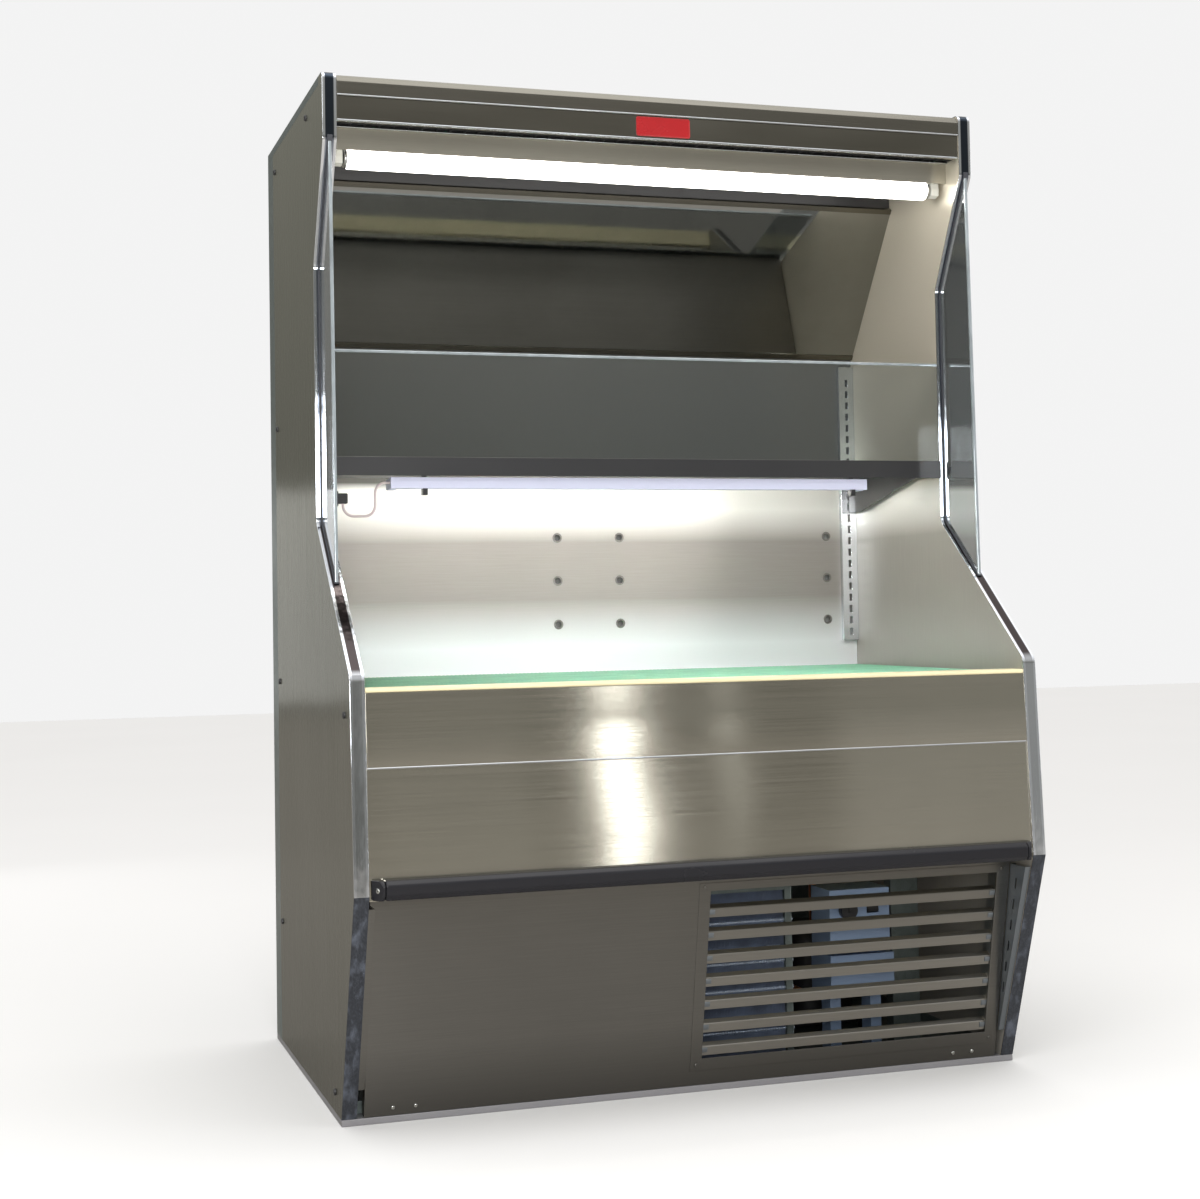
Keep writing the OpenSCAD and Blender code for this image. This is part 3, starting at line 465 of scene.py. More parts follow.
def place_on(tree, scale=1):
    """Object coordinates, stretched by one number or three."""
    scale = scale if isinstance(scale, (list, tuple)) else (scale,) * 3
    place = add_node(tree, "TexCoord").outputs["Object"]
    return add_node(tree, "Mapping", {"Vector": place, "Scale": scale}).outputs[0]


def axis_of(tree, axis):
    """One axis of the object coordinates."""
    return add_node(tree, "SeparateXYZ", {"Vector": place_on(tree)}).outputs[axis]


def noise(tree, scale, detail=3.0, rough=0.5):
    """Noise with so many blobs to the metre, the same or one number for each axis."""
    inputs = {
        "Vector": place_on(tree, scale), "Scale": 1.0, "Detail": detail, "Roughness": rough
    }
    return add_node(tree, "TexNoise", inputs).outputs["Fac"]


def cells(tree, scale):
    """Cell pattern with so many cells to the metre."""
    return add_node(tree, "TexVoronoi", {"Vector": place_on(tree, scale), "Scale": 1.0})


def spread(tree, value, low, high, start=0.25, end=0.75):
    """Maps a pattern to a range."""
    inputs = {"From Min": start, "From Max": end, "To Min": low, "To Max": high, "Value": value}
    return add_node(tree, "MapRange", inputs).outputs["Result"]


def between(tree, factor, first, second):
    """Colour between two colours or sockets."""
    node = add_node(tree, "Mix", {"Factor": factor}, data_type="RGBA")
    for name, value in (("A", first), ("B", second)):
        number = next(
            i for i, s in enumerate(node.inputs) if s.name == name and s.type == "RGBA"
        )
        feed(node, {number: value if isinstance(value, bpy.types.NodeSocket) else (*value, 1)})
    return next(s for s in node.outputs if s.type == "RGBA")


def by_height(tree, low, high, below=0.0, above=1.0):
    """Value that changes from below to above between two heights."""
    return spread(tree, axis_of(tree, "Z"), below, above, low, high)


def painted_light_tone(tree, shader, factor, other):
    """Lets the colour turn to another colour by a factor; every caller uses it to paint light,
    shade or a reflection into the colour.
    """
    tint = shader.inputs["Base Color"].links[0].from_socket
    feed(shader, {"Base Color": between(tree, factor, tint, other)})


def relief(tree, shader, height, depth, below=None, strength=1.0):
    """Raises the surface by a pattern, over an earlier relief where one is given."""
    inputs = {"Strength": strength, "Distance": depth, "Height": height}
    if below is not None:
        inputs["Normal"] = below
    normal = add_node(tree, "Bump", inputs).outputs["Normal"]
    feed(shader, {"Normal": normal})
    return normal


def scaled(colour, factor):
    return tuple(min(1.0, part * factor) for part in colour)


def colour_of(choice):
    """Linear colour of three screen levels, or of a scene colour's name and a factor."""
    if len(choice) == 3:
        return shade(*choice)
    name, factor = choice
    return scaled(getattr(bpy.context.scene.case_colours, name), factor)


# Finishes


def brushed(tree, shader, choice, along, rough, wave, wave_scale, metal, *painted_light_bands):
    """Brushed sheet: fine lines along one axis, long streaks, clouds, a slight waviness and bands
    of painted light and shade by height.
    """
    colour = colour_of(choice)
    lines = noise(tree, [14 if axis == along else 2100 for axis in "XYZ"], 3, 0.6)
    streaks = noise(tree, [2.4 if axis == along else 420 for axis in "XYZ"], 3, 0.55)
    clouds = noise(tree, 3.1, 4, 0.6)
    tint = between(tree, spread(tree, lines, 0, 1), scaled(colour, 0.90), scaled(colour, 1.06))
    tint = between(tree, spread(tree, streaks, 0, 0.2, 0.35, 0.8), tint, scaled(colour, 0.78))
    tint = between(tree, spread(tree, clouds, 0, 0.26, 0.35, 0.75), tint, scaled(colour, 0.76))
    feed(shader, {
        "Base Color": tint, "Metallic": metal, "Anisotropic": 0.9, "Anisotropic Rotation": 0.25,
        "Roughness": spread(tree, streaks, rough - 0.025, rough + 0.04),
        "Tangent": add_node(tree, "CombineXYZ", {along: 1.0}).outputs["Vector"],
    })
    under = relief(tree, shader, noise(tree, wave_scale, 1), wave)
    relief(tree, shader, lines, 0.000012, under, 0.6)
    # Bands of painted light and shade: the colour turns to another colour between two heights
    for other, *band in painted_light_bands:
        painted_light_tone(tree, shader, by_height(tree, *band), colour_of(other))


def paint(tree, shader, choice, rough, grain, depth=0.00012, wear=0.25, others=None):
    """Painted or moulded surface with a fine skin and slightly uneven tone."""
    colour = colour_of(choice)
    clouds = noise(tree, 9, 5, 0.6)
    tint = between(tree, spread(tree, clouds, 0, wear), colour, scaled(colour, 0.62))
    feed(shader, {
        "Base Color": tint, "Roughness": spread(tree, clouds, rough - 0.05, rough + 0.09),
        **(others or {}),
    })
    relief(tree, shader, noise(tree, grain, 4), depth)


def buffed(tree, shader, choice):
    """Buffed strip: nearly a mirror, with small ripples and hair scratches."""
    colour = colour_of(choice)
    ripples = noise(tree, (30, 30, 14), 2)
    scratches = noise(tree, (900, 900, 12), 3, 0.7)
    feed(shader, {
        "Base Color": between(tree, scratches, scaled(colour, 0.88), colour), "Metallic": 1.0,
        "Roughness": spread(tree, scratches, 0.04, 0.13),
    })
    under = relief(tree, shader, ripples, 0.0005)
    relief(tree, shader, scratches, 0.00002, under, 0.4)


def edge_trim(tree, shader, choice):
    """Trim of the end panels with painted highlights along its margins and painted reflections on
    a core that is dark above the well, lighter higher up and dark again at the canopy.
    """
    buffed(tree, shader, choice)
    # Painted reflections: the core's colour changes at three heights
    for height, *levels in ((0.775, 66, 60, 60), (1.043, 146, 153, 166), (1.725, 64, 72, 82)):
        painted_light_tone(tree, shader, by_height(tree, height - 0.008, height + 0.008), shade(*levels))
    low, high = (corner.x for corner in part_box("edge_trim_right"))
    across, half = axis_of(tree, "X"), (high - low) / 2
    side = add_node(tree, "Math", {0: across}, operation="ABSOLUTE").outputs[0]
    away = {0: side, 1: (low + high) / 2}
    away = add_node(tree, "Math", away, operation="SUBTRACT").outputs[0]
    away = add_node(tree, "Math", {0: away}, operation="ABSOLUTE").outputs[0]
    # Painted highlight: the margins along both sides are painted bright
    painted_highlight_margin = spread(tree, away, 0, 1, half - 0.0058, half - 0.0042)
    painted_light_tone(tree, shader, painted_highlight_margin, shade(232, 236, 242))


def galvanised_sheet(tree, shader):
    """Zinc-coated sheet with a faint spangle."""
    colour = colour_of(("galvanised", 1))
    clouds = noise(tree, 6, 5)
    spangle = cells(tree, 70).outputs["Color"]
    tint = between(tree, spangle, scaled(colour, 0.82), scaled(colour, 1.12))
    tint = between(tree, spread(tree, clouds, 0, 0.6), tint, scaled(colour, 0.9))
    feed(shader, {
        "Base Color": tint, "Metallic": 0.75, "Roughness": spread(tree, clouds, 0.36, 0.5)
    })
    relief(tree, shader, noise(tree, 2.5, 1), 0.003)


def kick_texture(tree, shader):
    """Coarse dark strip with lighter worn grains."""
    colour = colour_of(("kick", 1))
    grains = noise(tree, (260, 260, 150), 5, 0.65)
    patches = noise(tree, (60, 60, 22), 4)
    tint = between(tree, spread(tree, grains, 0, 1, 0.45, 0.7), scaled(colour, 0.55), colour)
    worn = spread(tree, patches, 0, 0.7, 0.5, 0.72)
    feed(shader, {
        "Base Color": between(tree, worn, tint, scaled(colour, 2.6)), "Metallic": 0.2,
        "Roughness": spread(tree, patches, 0.34, 0.62),
    })
    relief(tree, shader, grains, 0.0011)


def see_through(tree, shader, gloss, metal, start, end, most):
    """Clear plastic sheet whose gloss grows from a start to an end of its tilt to the eye."""
    smudges = noise(tree, 7, 5, 0.6)
    feed(shader, {
        "Base Color": (*gloss, 1), "Metallic": metal, "IOR": 1.49, "Specular IOR Level": 0.8,
        "Roughness": spread(tree, smudges, 0.01, 0.06),
    })
    clear = add_node(tree, "BsdfTransparent", {"Color": (0.955, 0.975, 0.972, 1)})
    tilt = add_node(tree, "LayerWeight", {"Blend": 0.5}).outputs["Facing"]
    mix = add_node(tree, "MixShader", {
        "Fac": spread(tree, tilt, 0.05, most, start, end),
        1: clear.outputs["BSDF"], 2: shader.outputs["BSDF"],
    })
    feed(tree.nodes["Material Output"], {"Surface": mix.outputs["Shader"]})


def clear_edge_painted_highlight(tree, shader):
    """Flame-polished edge of a clear sheet; an opaque pale colour is a painted highlight for the
    light it gathers.
    """
    colour = shade(206, 216, 222)
    ripples = noise(tree, (40, 40, 18), 3)
    feed(shader, {
        "Base Color": between(tree, spread(tree, ripples, 0, 1), scaled(colour, 0.62), colour),
        "Metallic": 0.55, "Roughness": 0.08, "Coat Weight": 0.6,
    })
    relief(tree, shader, ripples, 0.0008)


def mirror_silver(tree, shader):
    """Front face of the mirror with a faint haze."""
    haze = noise(tree, 4, 6, 0.65)
    tint = between(tree, spread(tree, haze, 0, 1), (0.34, 0.345, 0.33), (0.42, 0.43, 0.415))
    feed(shader, {
        "Base Color": tint, "Metallic": 1.0, "Roughness": spread(tree, haze, 0.015, 0.06)
    })


def insulating_foam(tree, shader):
    """Poured foam with open cells."""
    colour = shade(222, 206, 150)
    tint = between(tree, noise(tree, 14, 5), scaled(colour, 0.8), colour)
    feed(shader, {"Base Color": tint, "Roughness": 0.85})
    relief(tree, shader, cells(tree, 260).outputs["Distance"], 0.0012)


def mat_net(tree, shader):
    """Extruded net strand with a slightly uneven tone, paler and darker in clouds."""
    colour = colour_of(("mat", 1))
    clouds = spread(tree, noise(tree, 22, 5, 0.6), 0, 1)
    feed(shader, {
        "Base Color": between(tree, clouds, scaled(colour, 0.72), scaled(colour, 1.1)),
        "Roughness": 0.5, "Subsurface Weight": 0.08,
    })
    relief(tree, shader, noise(tree, 400), 0.0002)


def coil_fin(tree, shader):
    """Thin aluminium fins, dusty between."""
    colour = shade(158, 172, 198)
    dust = noise(tree, (18, 18, 30), 6, 0.65)
    feed(shader, {
        "Base Color": between(tree, spread(tree, dust, 0, 1), scaled(colour, 0.45), colour),
        "Metallic": 0.25, "Roughness": spread(tree, dust, 0.3, 0.6),
    })
    relief(tree, shader, dust, 0.0005)


def glowing_tube(tree, shader, strength):
    """Lit fluorescent tube whose coating makes its glow slightly uneven along its length."""
    colour = colour_of(("lamp", 1))
    coating = spread(tree, noise(tree, (8, 60, 60), 2), 0, 1)
    feed(shader, {
        "Base Color": (0.9, 0.9, 0.9, 1), "Roughness": 0.3,
        "Emission Color": between(tree, coating, scaled(colour, 0.96), colour),
        "Emission Strength": getattr(bpy.context.scene.case_lights, strength),
    })


def studio_floor(tree, shader):
    """Matt pale floor with the faintest mottling, which polished pieces mirror in a painted
    darker reflection colour.
    """
    colour, painted_reflection = (0.90, 0.90, 0.89), (0.38, 0.36, 0.33)
    pale = between(tree, noise(tree, 0.8, 4), scaled(colour, 0.97), colour)
    # Painted reflection: glossy rays see the floor darker and browner
    glossy = add_node(tree, "LightPath").outputs["Is Glossy Ray"]
    feed(shader, {"Base Color": between(tree, glossy, pale, painted_reflection), "Roughness": 0.7})


# Colour, axis of the brushing, roughness, depth and number to the metre of the waves, metal,
# and bands of painted light and shade, each with its colour, its two heights and its shares at
# them
BRUSHED = {
    "Front steel": (("front_steel", 1), "X", 0.15, 0.0012, 2.2, 1.0),
    "Valance steel": (("front_steel", 0.92), "X", 0.34, 0.0022, 2.2, 0.8),
    # Painted shade: the canopy and fascia are darker copies of the front steel
    "Canopy steel": (("front_steel", 0.38), "X", 0.24, 0.003, 2.2, 1.0),
    "Fascia steel": (("front_steel", 0.44), "X", 0.16, 0.010, (2.4, 2.4, 6), 1.0),
    "Side steel": (
        ("side_steel", 1), "Z", 0.25, 0.004, 2.2, 1.0,
        # Painted reflection: the skin is painted darker towards the bottom, where it would mirror
        # a dim floor
        (("side_steel", 0.42), 0.22, 1.05, 0.85, 0.0),
    ),
    "Lower steel": (
        ("lower_steel", 1), "X", 0.42, 0.0008, 2.2, 1.0,
        # Painted shade: the panel is painted darker towards its foot
        (("lower_steel", 0.55), 0.02, 0.13, 0.9, 0.0),
    ),
    "Louvre steel": (
        # Painted light: the louvres are a lighter copy of the lower steel, and the upper louvres
        # carry painted shade
        ("lower_steel", 1.6), "X", 0.30, 0.001, 9, 1.0, (("lower_steel", 1.2), 0.20, 0.32)
    ),
    "Wall steel": (
        ("wall_steel", 1), "X", 0.46, 0.003, 2.2, 0.35,
        # Painted light and shade: a pale bluish painted reflection low down near the deck, a
        # painted glow of the shelf lamp just under the shelf, and painted shade above the shelf
        ((250, 252, 255), 0.90, 0.80, 0.0, 0.9), ((255, 253, 248), 1.02, 1.09),
        ((104, 102, 98), 1.13, 1.145),
    ),
    "Lining steel": (
        (168, 164, 156), "Z", 0.34, 0.009, 2.2, 0.45,
        # Painted light: a near-white painted glow from the shelf lamp's height upward, turning to
        # a paler warm painted reflection over the upper panel
        ((255, 253, 248), 1.02, 1.10), ((226, 218, 200), 1.11, 1.14),
    ),
    "Bright metal": (("trim", 0.92), "Z", 0.20, 0.0006, 12, 1.0),
    "Channel steel": ((150, 158, 166), "Z", 0.32, 0.0006, 2.2, 1.0),
}

# Colour, roughness, grains to the metre, then depth of the skin, wear and other settings
PAINTED = {
    "Base paint": (("base", 1), 0.45, 220, 0.00012, 0.25, {"Metallic": 0.35}),
    "Black satin": (("shelf", 1), 0.36, 420, 0.00005, 0.25, {"Coat Weight": 0.15}),
    "Black gloss": (("bumper", 1), 0.20, 90, 0.0001, 0.25, {"Specular IOR Level": 0.32}),
    "Black plastic": ((34, 34, 36), 0.46, 500, 0.00006),
    "Dark rubber": ((62, 64, 70), 0.6, 700, 0.00008),
    "Grommet rubber": ((112, 108, 104), 0.45, 500, 0.00005),
    "Lamp enamel": (("batten", 1), 0.32, 260, 0.00004, 0.08),
    "White liner": ((232, 232, 226), 0.4, 160, 0.00012, 0.12),
    "White plastic": ((226, 226, 218), 0.35, 300, 0.00012, 0.1),
    "Lamp cap": ((196, 198, 200), 0.25, 300, 0.00004, 0.25, {"Metallic": 0.9}),
    "Lead sheath": ((204, 190, 190), 0.35, 600, 0.00003),
    "Red enamel": (("plate", 1), 0.25, 300, 0.00003, 0.1, {"Coat Weight": 0.6}),
    "Cream plastic": (("nosing", 1), 0.38, 180, 0.00012, 0.3),
    "Control box paint": (("control", 1), 0.38, 320, 0.0002),
    "Compressor enamel": ((24, 24, 26), 0.3, 140, 0.0002),
    "Copper tube": ((196, 122, 84), 0.28, 60, 0.00008, 0.6, {"Metallic": 1.0}),
    "Zinc bolt": ((206, 208, 204), 0.24, 500, 0.00005, 0.25, {"Metallic": 1.0}),
    "Panel core": ((150, 132, 102), 0.7, 180, 0.0003),
    "Coil tube": ((200, 214, 232), 0.22, 200, 0.00004, 0.35, {"Metallic": 0.85}),
}

FINISHES = {
    "Polished trim": (buffed, ("trim", 1)),
    "Edge trim": (edge_trim, ("trim", 1)),
    "Galvanised sheet": (galvanised_sheet,),
    "Kick strip": (kick_texture,),
    # Colour of the gloss, metal, and where the gloss starts, ends and how strong it gets
    "Clear sheet": (see_through, (0.085, 0.10, 0.11), 0.0, 0.0, 1.0, 0.85),
    "Glossy clear sheet": (see_through, (0.36, 0.38, 0.39), 0.85, 0.15, 0.5, 0.88),
    "Polished clear edge": (clear_edge_painted_highlight,),
    "Mirror": (mirror_silver,),
    "Insulating foam": (insulating_foam,),
    "Net mat": (mat_net,),
    "Coil fins": (coil_fin,),
    "Canopy tube": (glowing_tube, "canopy_lamp"),
    "Shelf tube": (glowing_tube, "shelf_lamp"),
    "Studio floor": (studio_floor,),
    **{name: (brushed, *facts) for name, facts in BRUSHED.items()},
    **{name: (paint, *facts) for name, facts in PAINTED.items()},
}
made = {}


def finish(name):
    """The material of a finish, made once."""
    if name not in made:
        made[name] = bpy.data.materials.new(name)
        made[name].use_nodes = True
        tree = made[name].node_tree
        maker, *facts = FINISHES[name]
        maker(tree, tree.nodes["Principled BSDF"], *facts)
    return made[name]


class PieceOperator:
    bl_options = {"REGISTER", "UNDO"}

    def execute(self, context):
        self.build(context.scene.case_sizes)
        return {"FINISHED"}


class CASE_OT_camera(PieceOperator, bpy.types.Operator):
    """Sets up the camera in front of the left corner of the case"""

    bl_idname = "case.camera"
    bl_label = "Camera"

    def build(self, sizes):
        data = bpy.data.cameras.new("Camera")
        data.sensor_width = 36
        data.lens = 57.84
        data.shift_x, data.shift_y = -0.0015, -0.0567
        data.clip_end = 60
        camera = bpy.data.objects.new("Camera", data)
        camera.location = (-1.23690, -3.60077, 0.87362)
        turns = (("Z", -17.988), ("X", 92.366), ("Z", -1.013))
        heading, tilt, roll = (
            Matrix.Rotation(math.radians(angle), 4, axis) for axis, angle in turns
        )
        camera.rotation_euler = (heading @ tilt @ roll).to_euler()
        bpy.context.scene.collection.objects.link(camera)
        bpy.context.scene.camera = camera


class CASE_OT_stage(PieceOperator, bpy.types.Operator):
    """Lays a plain pale floor and sets the soft studio light"""

    bl_idname = "case.stage"
    bl_label = "Stage"

    # Name, place, aim, size, and power as a share of one of the lights
    LIGHTS = (
        ("Key light", (-2.6, -3.4, 3.6), (0, 0, 0.9), (2.6, 1.8), "key", 1),
        ("Fill light", (3.6, -3.0, 1.6), (0, 0, 0.7), (1.2, 2.2), "key", 0.25),
        ("Back light", (-1.5, 3.6, 0.95), (-0.8, 0, 0.9), (0.9, 0.8), "key", 0.035),
        ("Top light", (0.4, -0.6, 4.2), (0, 0, 1.8), (2.4, 2.4), "key", 0.35),
        ("Front light", (-1.05, -3.75, 1.2), (0.3, -0.3, 0.4), (0.8, 0.8), "front", 1),
        ("Strip light", (1.04, -4.1, 0.66), (0.05, -0.4, 0.6), (0.12, 0.62), "strip", 1),
        ("Narrow strip light", (1.40, -3.9, 0.80), (0.3, -0.4, 0.7), (0.05, 0.4), "strip", 0.06),
        ("Right panel light", (2.65, -4.1, 0.6), (0.4, -0.4, 0.55), (1.3, 1.0), "strip", 0.36),
        ("Left panel light", (0.38, -4.1, 0.6), (-0.4, -0.4, 0.55), (0.54, 1.0), "strip", 0.07),
    )

    def build(self, sizes):
        reach = FLOOR_REACH
        floor = block("Floor", (-reach, -reach, -0.02), (reach, reach, 0))
        floor.data.materials.append(finish("Studio floor"))
        lights = bpy.context.scene.case_lights
        self.set_surround(lights.surround)
        for name, place, aim, size, light, share in self.LIGHTS:
            self.hang(name, place, aim, size, getattr(lights, light) * share)
        bpy.context.scene.view_settings.view_transform = "Standard"

    def set_surround(self, strength):
        """Even light, darker towards the floor line, with a pale ground behind the case."""
        world = bpy.data.worlds.new("Studio")
        bpy.context.scene.world = world
        world.use_nodes = True
        tree = world.node_tree
        direction = add_node(tree, "TexCoord").outputs["Generated"]
        height = add_node(tree, "SeparateXYZ", {"Vector": direction}).outputs["Z"]
        height = add_node(tree, "MapRange", {"From Min": -1, "Value": height})
        ramp = add_node(tree, "ValToRGB", {"Fac": height.outputs["Result"]})
        levels = ((0.50, 0.17), (0.62, 0.29), (0.80, 0.85), (1.0, 1.5))
        for place, level in levels[2:]:
            ramp.color_ramp.elements.new(place)
        for element, (place, level) in zip(ramp.color_ramp.elements, levels):
            element.position = place
            element.color = (level, level * 0.985, level * (0.90 if place < 0.7 else 0.98), 1)
        light = tree.nodes["Background"]
        feed(light, {"Strength": strength, "Color": ramp.outputs["Color"]})
        ground = add_node(tree, "Background", {"Color": (0.9, 0.9, 0.9, 1)})
        mix = add_node(tree, "MixShader", {
            "Fac": add_node(tree, "LightPath").outputs["Is Camera Ray"],
            1: light.outputs["Background"], 2: ground.outputs["Background"],
        })
        feed(tree.nodes["World Output"], {"Surface": mix.outputs["Shader"]})

    def hang(self, name, place, aim, size, power):
        """Soft rectangular light that faces a point and isn't seen itself."""
        data = bpy.data.lights.new(name, "AREA")
        data.shape = "RECTANGLE"
        data.size, data.size_y = size
        data.energy = power
        lamp = bpy.data.objects.new(name, data)
        lamp.location = place
        lamp.rotation_euler = (Vector(aim) - Vector(place)).to_track_quat("-Z", "Y").to_euler()
        lamp.visible_camera = False
        bpy.context.scene.collection.objects.link(lamp)


class CASE_OT_base(PieceOperator, bpy.types.Operator):
    """Finishes the base plate, the machine floor and the kick strips"""

    bl_idname = "case.base"
    bl_label = "Base"

    def build(self, sizes):
        dress("base_plate", "Base paint", 0.0015)
        dress("base_pan", "Galvanised sheet")
        dress("kick_strips", "Kick strip", 0.0006)


class CASE_OT_end_panels(PieceOperator, bpy.types.Operator):
    """Lines the end panels and finishes their outer skins"""

    bl_idname = "case.end_panels"
    bl_label = "End Panels"

    def build(self, sizes):
        for name, side in SIDES.items():
            node = "end_panel_" + name
            dress(
                node, "Panel core", name=node + "_core", second="Lining steel",
                rule=lambda face: face.normal.x * side < -0.9,
            )
            dress("side_skin_" + name, "Side steel", 0.0004)


class CASE_OT_trims(PieceOperator, bpy.types.Operator):
    """Polishes the trims that follow the front edges of the end panels, with painted highlights
    and reflections
    """

    bl_idname = "case.trims"
    bl_label = "Edge Trims"

    def build(self, sizes):
        for name in SIDES:
            dress("edge_trim_" + name, "Edge trim", 0.0008)


class CASE_OT_screws(PieceOperator, bpy.types.Operator):
    """Puts a crossed pan head at every side screw"""

    bl_idname = "case.screws"
    bl_label = "Side Screws"

    def build(self, sizes):
        places = []
        for number, (low, high) in enumerate(solids_in("panel_screws")):
            side = 1 if high.x > 0 else -1
            top = high.x if side > 0 else low.x
            centre = Vector((top, (low.y + high.y) / 2, (low.z + high.z) / 2))
            places.append(facing(centre, (side, 0, 0), spin=number * 1.3))
        screws = scatter(cross_screw("screw_pattern", 0.012, 0.0038), places, "side_screws")
        stand_in(screws, "panel_screws", "Black satin")


class CASE_OT_wings(PieceOperator, bpy.types.Operator):
    """Fits the clear wings with their edging and seals"""

    bl_idname = "case.wings"
    bl_label = "Clear Wings"

    def build(self, sizes):
        for name in SIDES:
            node = "clear_wing_" + name
            # The edging carries the clear edge finish with its painted highlight
            outside = self.rim(
                node, "wing_edging_" + name, lambda n: n.y < -0.5, sizes.edging, 0.005
            )
            detail(soften(outside, 0.0016, 3), node, "polished trim", "Polished clear edge")
            seal = self.rim(node, "wing_seal_" + name, lambda n: n.y > -0.5, 0.0095, 0.0035)
            detail(soften(seal, 0.0009), node, "black plastic", "Dark rubber")
            dress(node, "Glossy clear sheet", 0.0005, name="wing_sheet_" + name)

    def rim(self, node, name, rule, width, depth):
        """Strip that follows the part of a wing's rim that the rule accepts."""
        strip = merged(node, name)
        low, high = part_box(node)
        with editing(
            strip, "FACE", lambda face: abs(face.normal.x) > 0.3 or not rule(face.normal)
        ):
            bpy.ops.mesh.delete(type="FACE")
        centre = Matrix.Translation(((low.x + high.x) / 2, 0, 0))
        wider = Matrix.Diagonal((width / (high.x - low.x), 1, 1, 1))
        strip.data.transform(centre @ wider @ centre.inverted())
        apply_modifier(strip, "SOLIDIFY", thickness=depth, offset=-0.8, use_even_offset=True)
        return strip


class CASE_OT_casing(PieceOperator, bpy.types.Operator):
    """Finishes the rear casing, the top cover and the insulation"""

    bl_idname = "case.casing"
    bl_label = "Rear Casing"

    def build(self, sizes):
        dress("rear_casing", "Galvanised sheet", 0.0005)
        dress("top_cover", "Galvanised sheet", 0.0006)
        clad("insulation", "Insulating foam")


class CASE_OT_canopy(PieceOperator, bpy.types.Operator):
    """Finishes the canopy with its hems, its plate and the air slot"""

    bl_idname = "case.canopy"
    bl_label = "Canopy"

    def build(self, sizes):
        # Shell and fascia take darker copies of the front steel as painted shade
        dress("canopy_shell", "Canopy steel", 0.0009, 3)
        dress("canopy_fascia", "Fascia steel", 0.0009, 3)
        dress("air_honeycomb", "Black plastic", 0.0003, 1)
        dress("lamp_valance", "Valance steel", 0.0006)
        # Painted shade: the liner over the tube is given black satin so that it reads dark above
        # the lamp
        dress("canopy_liner", "Black satin")
        shell, fascia, valance = (
            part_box(node) for node in ("canopy_shell", "canopy_fascia", "lamp_valance")
        )
        roll_hem(
            "fascia_hem", "canopy_fascia", fascia[0].y + 0.0016, fascia[0].z + 0.0016, sizes.hem
        )
        roll_hem("shell_hem", "canopy_shell", shell[0].y + 0.0010, fascia[1].z + 0.0012, 0.0032)
        roll_hem(
            "valance_hem", "lamp_valance", valance[0].y + 0.0008, valance[1].z - 0.0012, 0.0036
        )
        self.plate(fascia[0].y)

    def plate(self, face):
        """Plain enamel plate with a raised border."""
        plate = block("front_plate", (-0.0545, face - 0.0014, 1.765), (0.053, face, 1.802))
        round_end(
            plate, lambda edge: abs(edge.verts[0].co.y - edge.verts[1].co.y) > 0.001, 0.0045, 6
        )
        with editing(plate, "FACE", lambda part: part.normal.y < -0.9):
            bpy.ops.mesh.inset(thickness=0.0012)
            bpy.ops.mesh.inset(thickness=0.0005, depth=-0.0005)
        detail(soften(plate, 0.0002), "canopy_fascia", "polished trim", "Red enamel")


class CASE_OT_canopy_lamp(PieceOperator, bpy.types.Operator):
    """Makes the canopy tube with its caps and pins"""

    bl_idname = "case.canopy_lamp"
    bl_label = "Canopy Lamp"

    def build(self, sizes):
        low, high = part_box("canopy_lamp")
        y, z, diameter = (low.y + high.y) / 2, (low.z + high.z) / 2, high.z - low.z
        cap = 0.010
        tube = bar("canopy_tube", low.x + cap - 0.004, high.x - cap + 0.004, y, z, diameter, 48)
        round_end(tube, self.at_ends(tube), 0.006, 5)
        stand_in(even(tube, 50), "canopy_lamp", "Canopy tube")
        caps, pins = [], []
        for end, inward in ((low.x, 1), (high.x, -1)):
            outer = end + inward * 0.0022
            piece = bar("lamp_cap", outer, end + inward * cap, y, z, diameter - 0.003, 40)
            caps.append(round_end(piece, self.at_ends(piece), 0.0025))
            for offset in (-0.0064, 0.0064):
                pins.append(
                    bar("lamp_pin", end, outer + inward * 0.002, y, z + offset, 0.0024, 12)
                )
        caps = even(gather(caps, "canopy_tube_caps"), 50)
        detail(caps, "canopy_lamp", "bright metal", "Lamp cap")
        pins = soften(gather(pins, "canopy_tube_pins"), 0.0003)
        detail(pins, "canopy_lamp", "bright metal", "Zinc bolt")
        dress("canopy_lampholders", "White plastic", 0.0012, 3)

    def at_ends(self, piece):
        """Rule that accepts the edges round both ends of a bar along X."""
        places = [v.co.x for v in piece.data.vertices]
        ends = [min(places), max(places)]
        return lambda edge: any(all(abs(v.co.x - x) < SAME for v in edge.verts) for x in ends)


class CASE_OT_mirror(PieceOperator, bpy.types.Operator):
    """Silvers the tilted mirror and gives its retainers the darker canopy steel with its painted
    shade
    """

    bl_idname = "case.mirror"
    bl_label = "Mirror"

    def build(self, sizes):
        dress(
            "mirror_glass", "Black plastic", 0.0004, name="mirror_plate", second="Mirror",
            rule=lambda face: face.normal.y < -0.5,
        )
        dress("mirror_retainers", "Canopy steel", 0.0003)


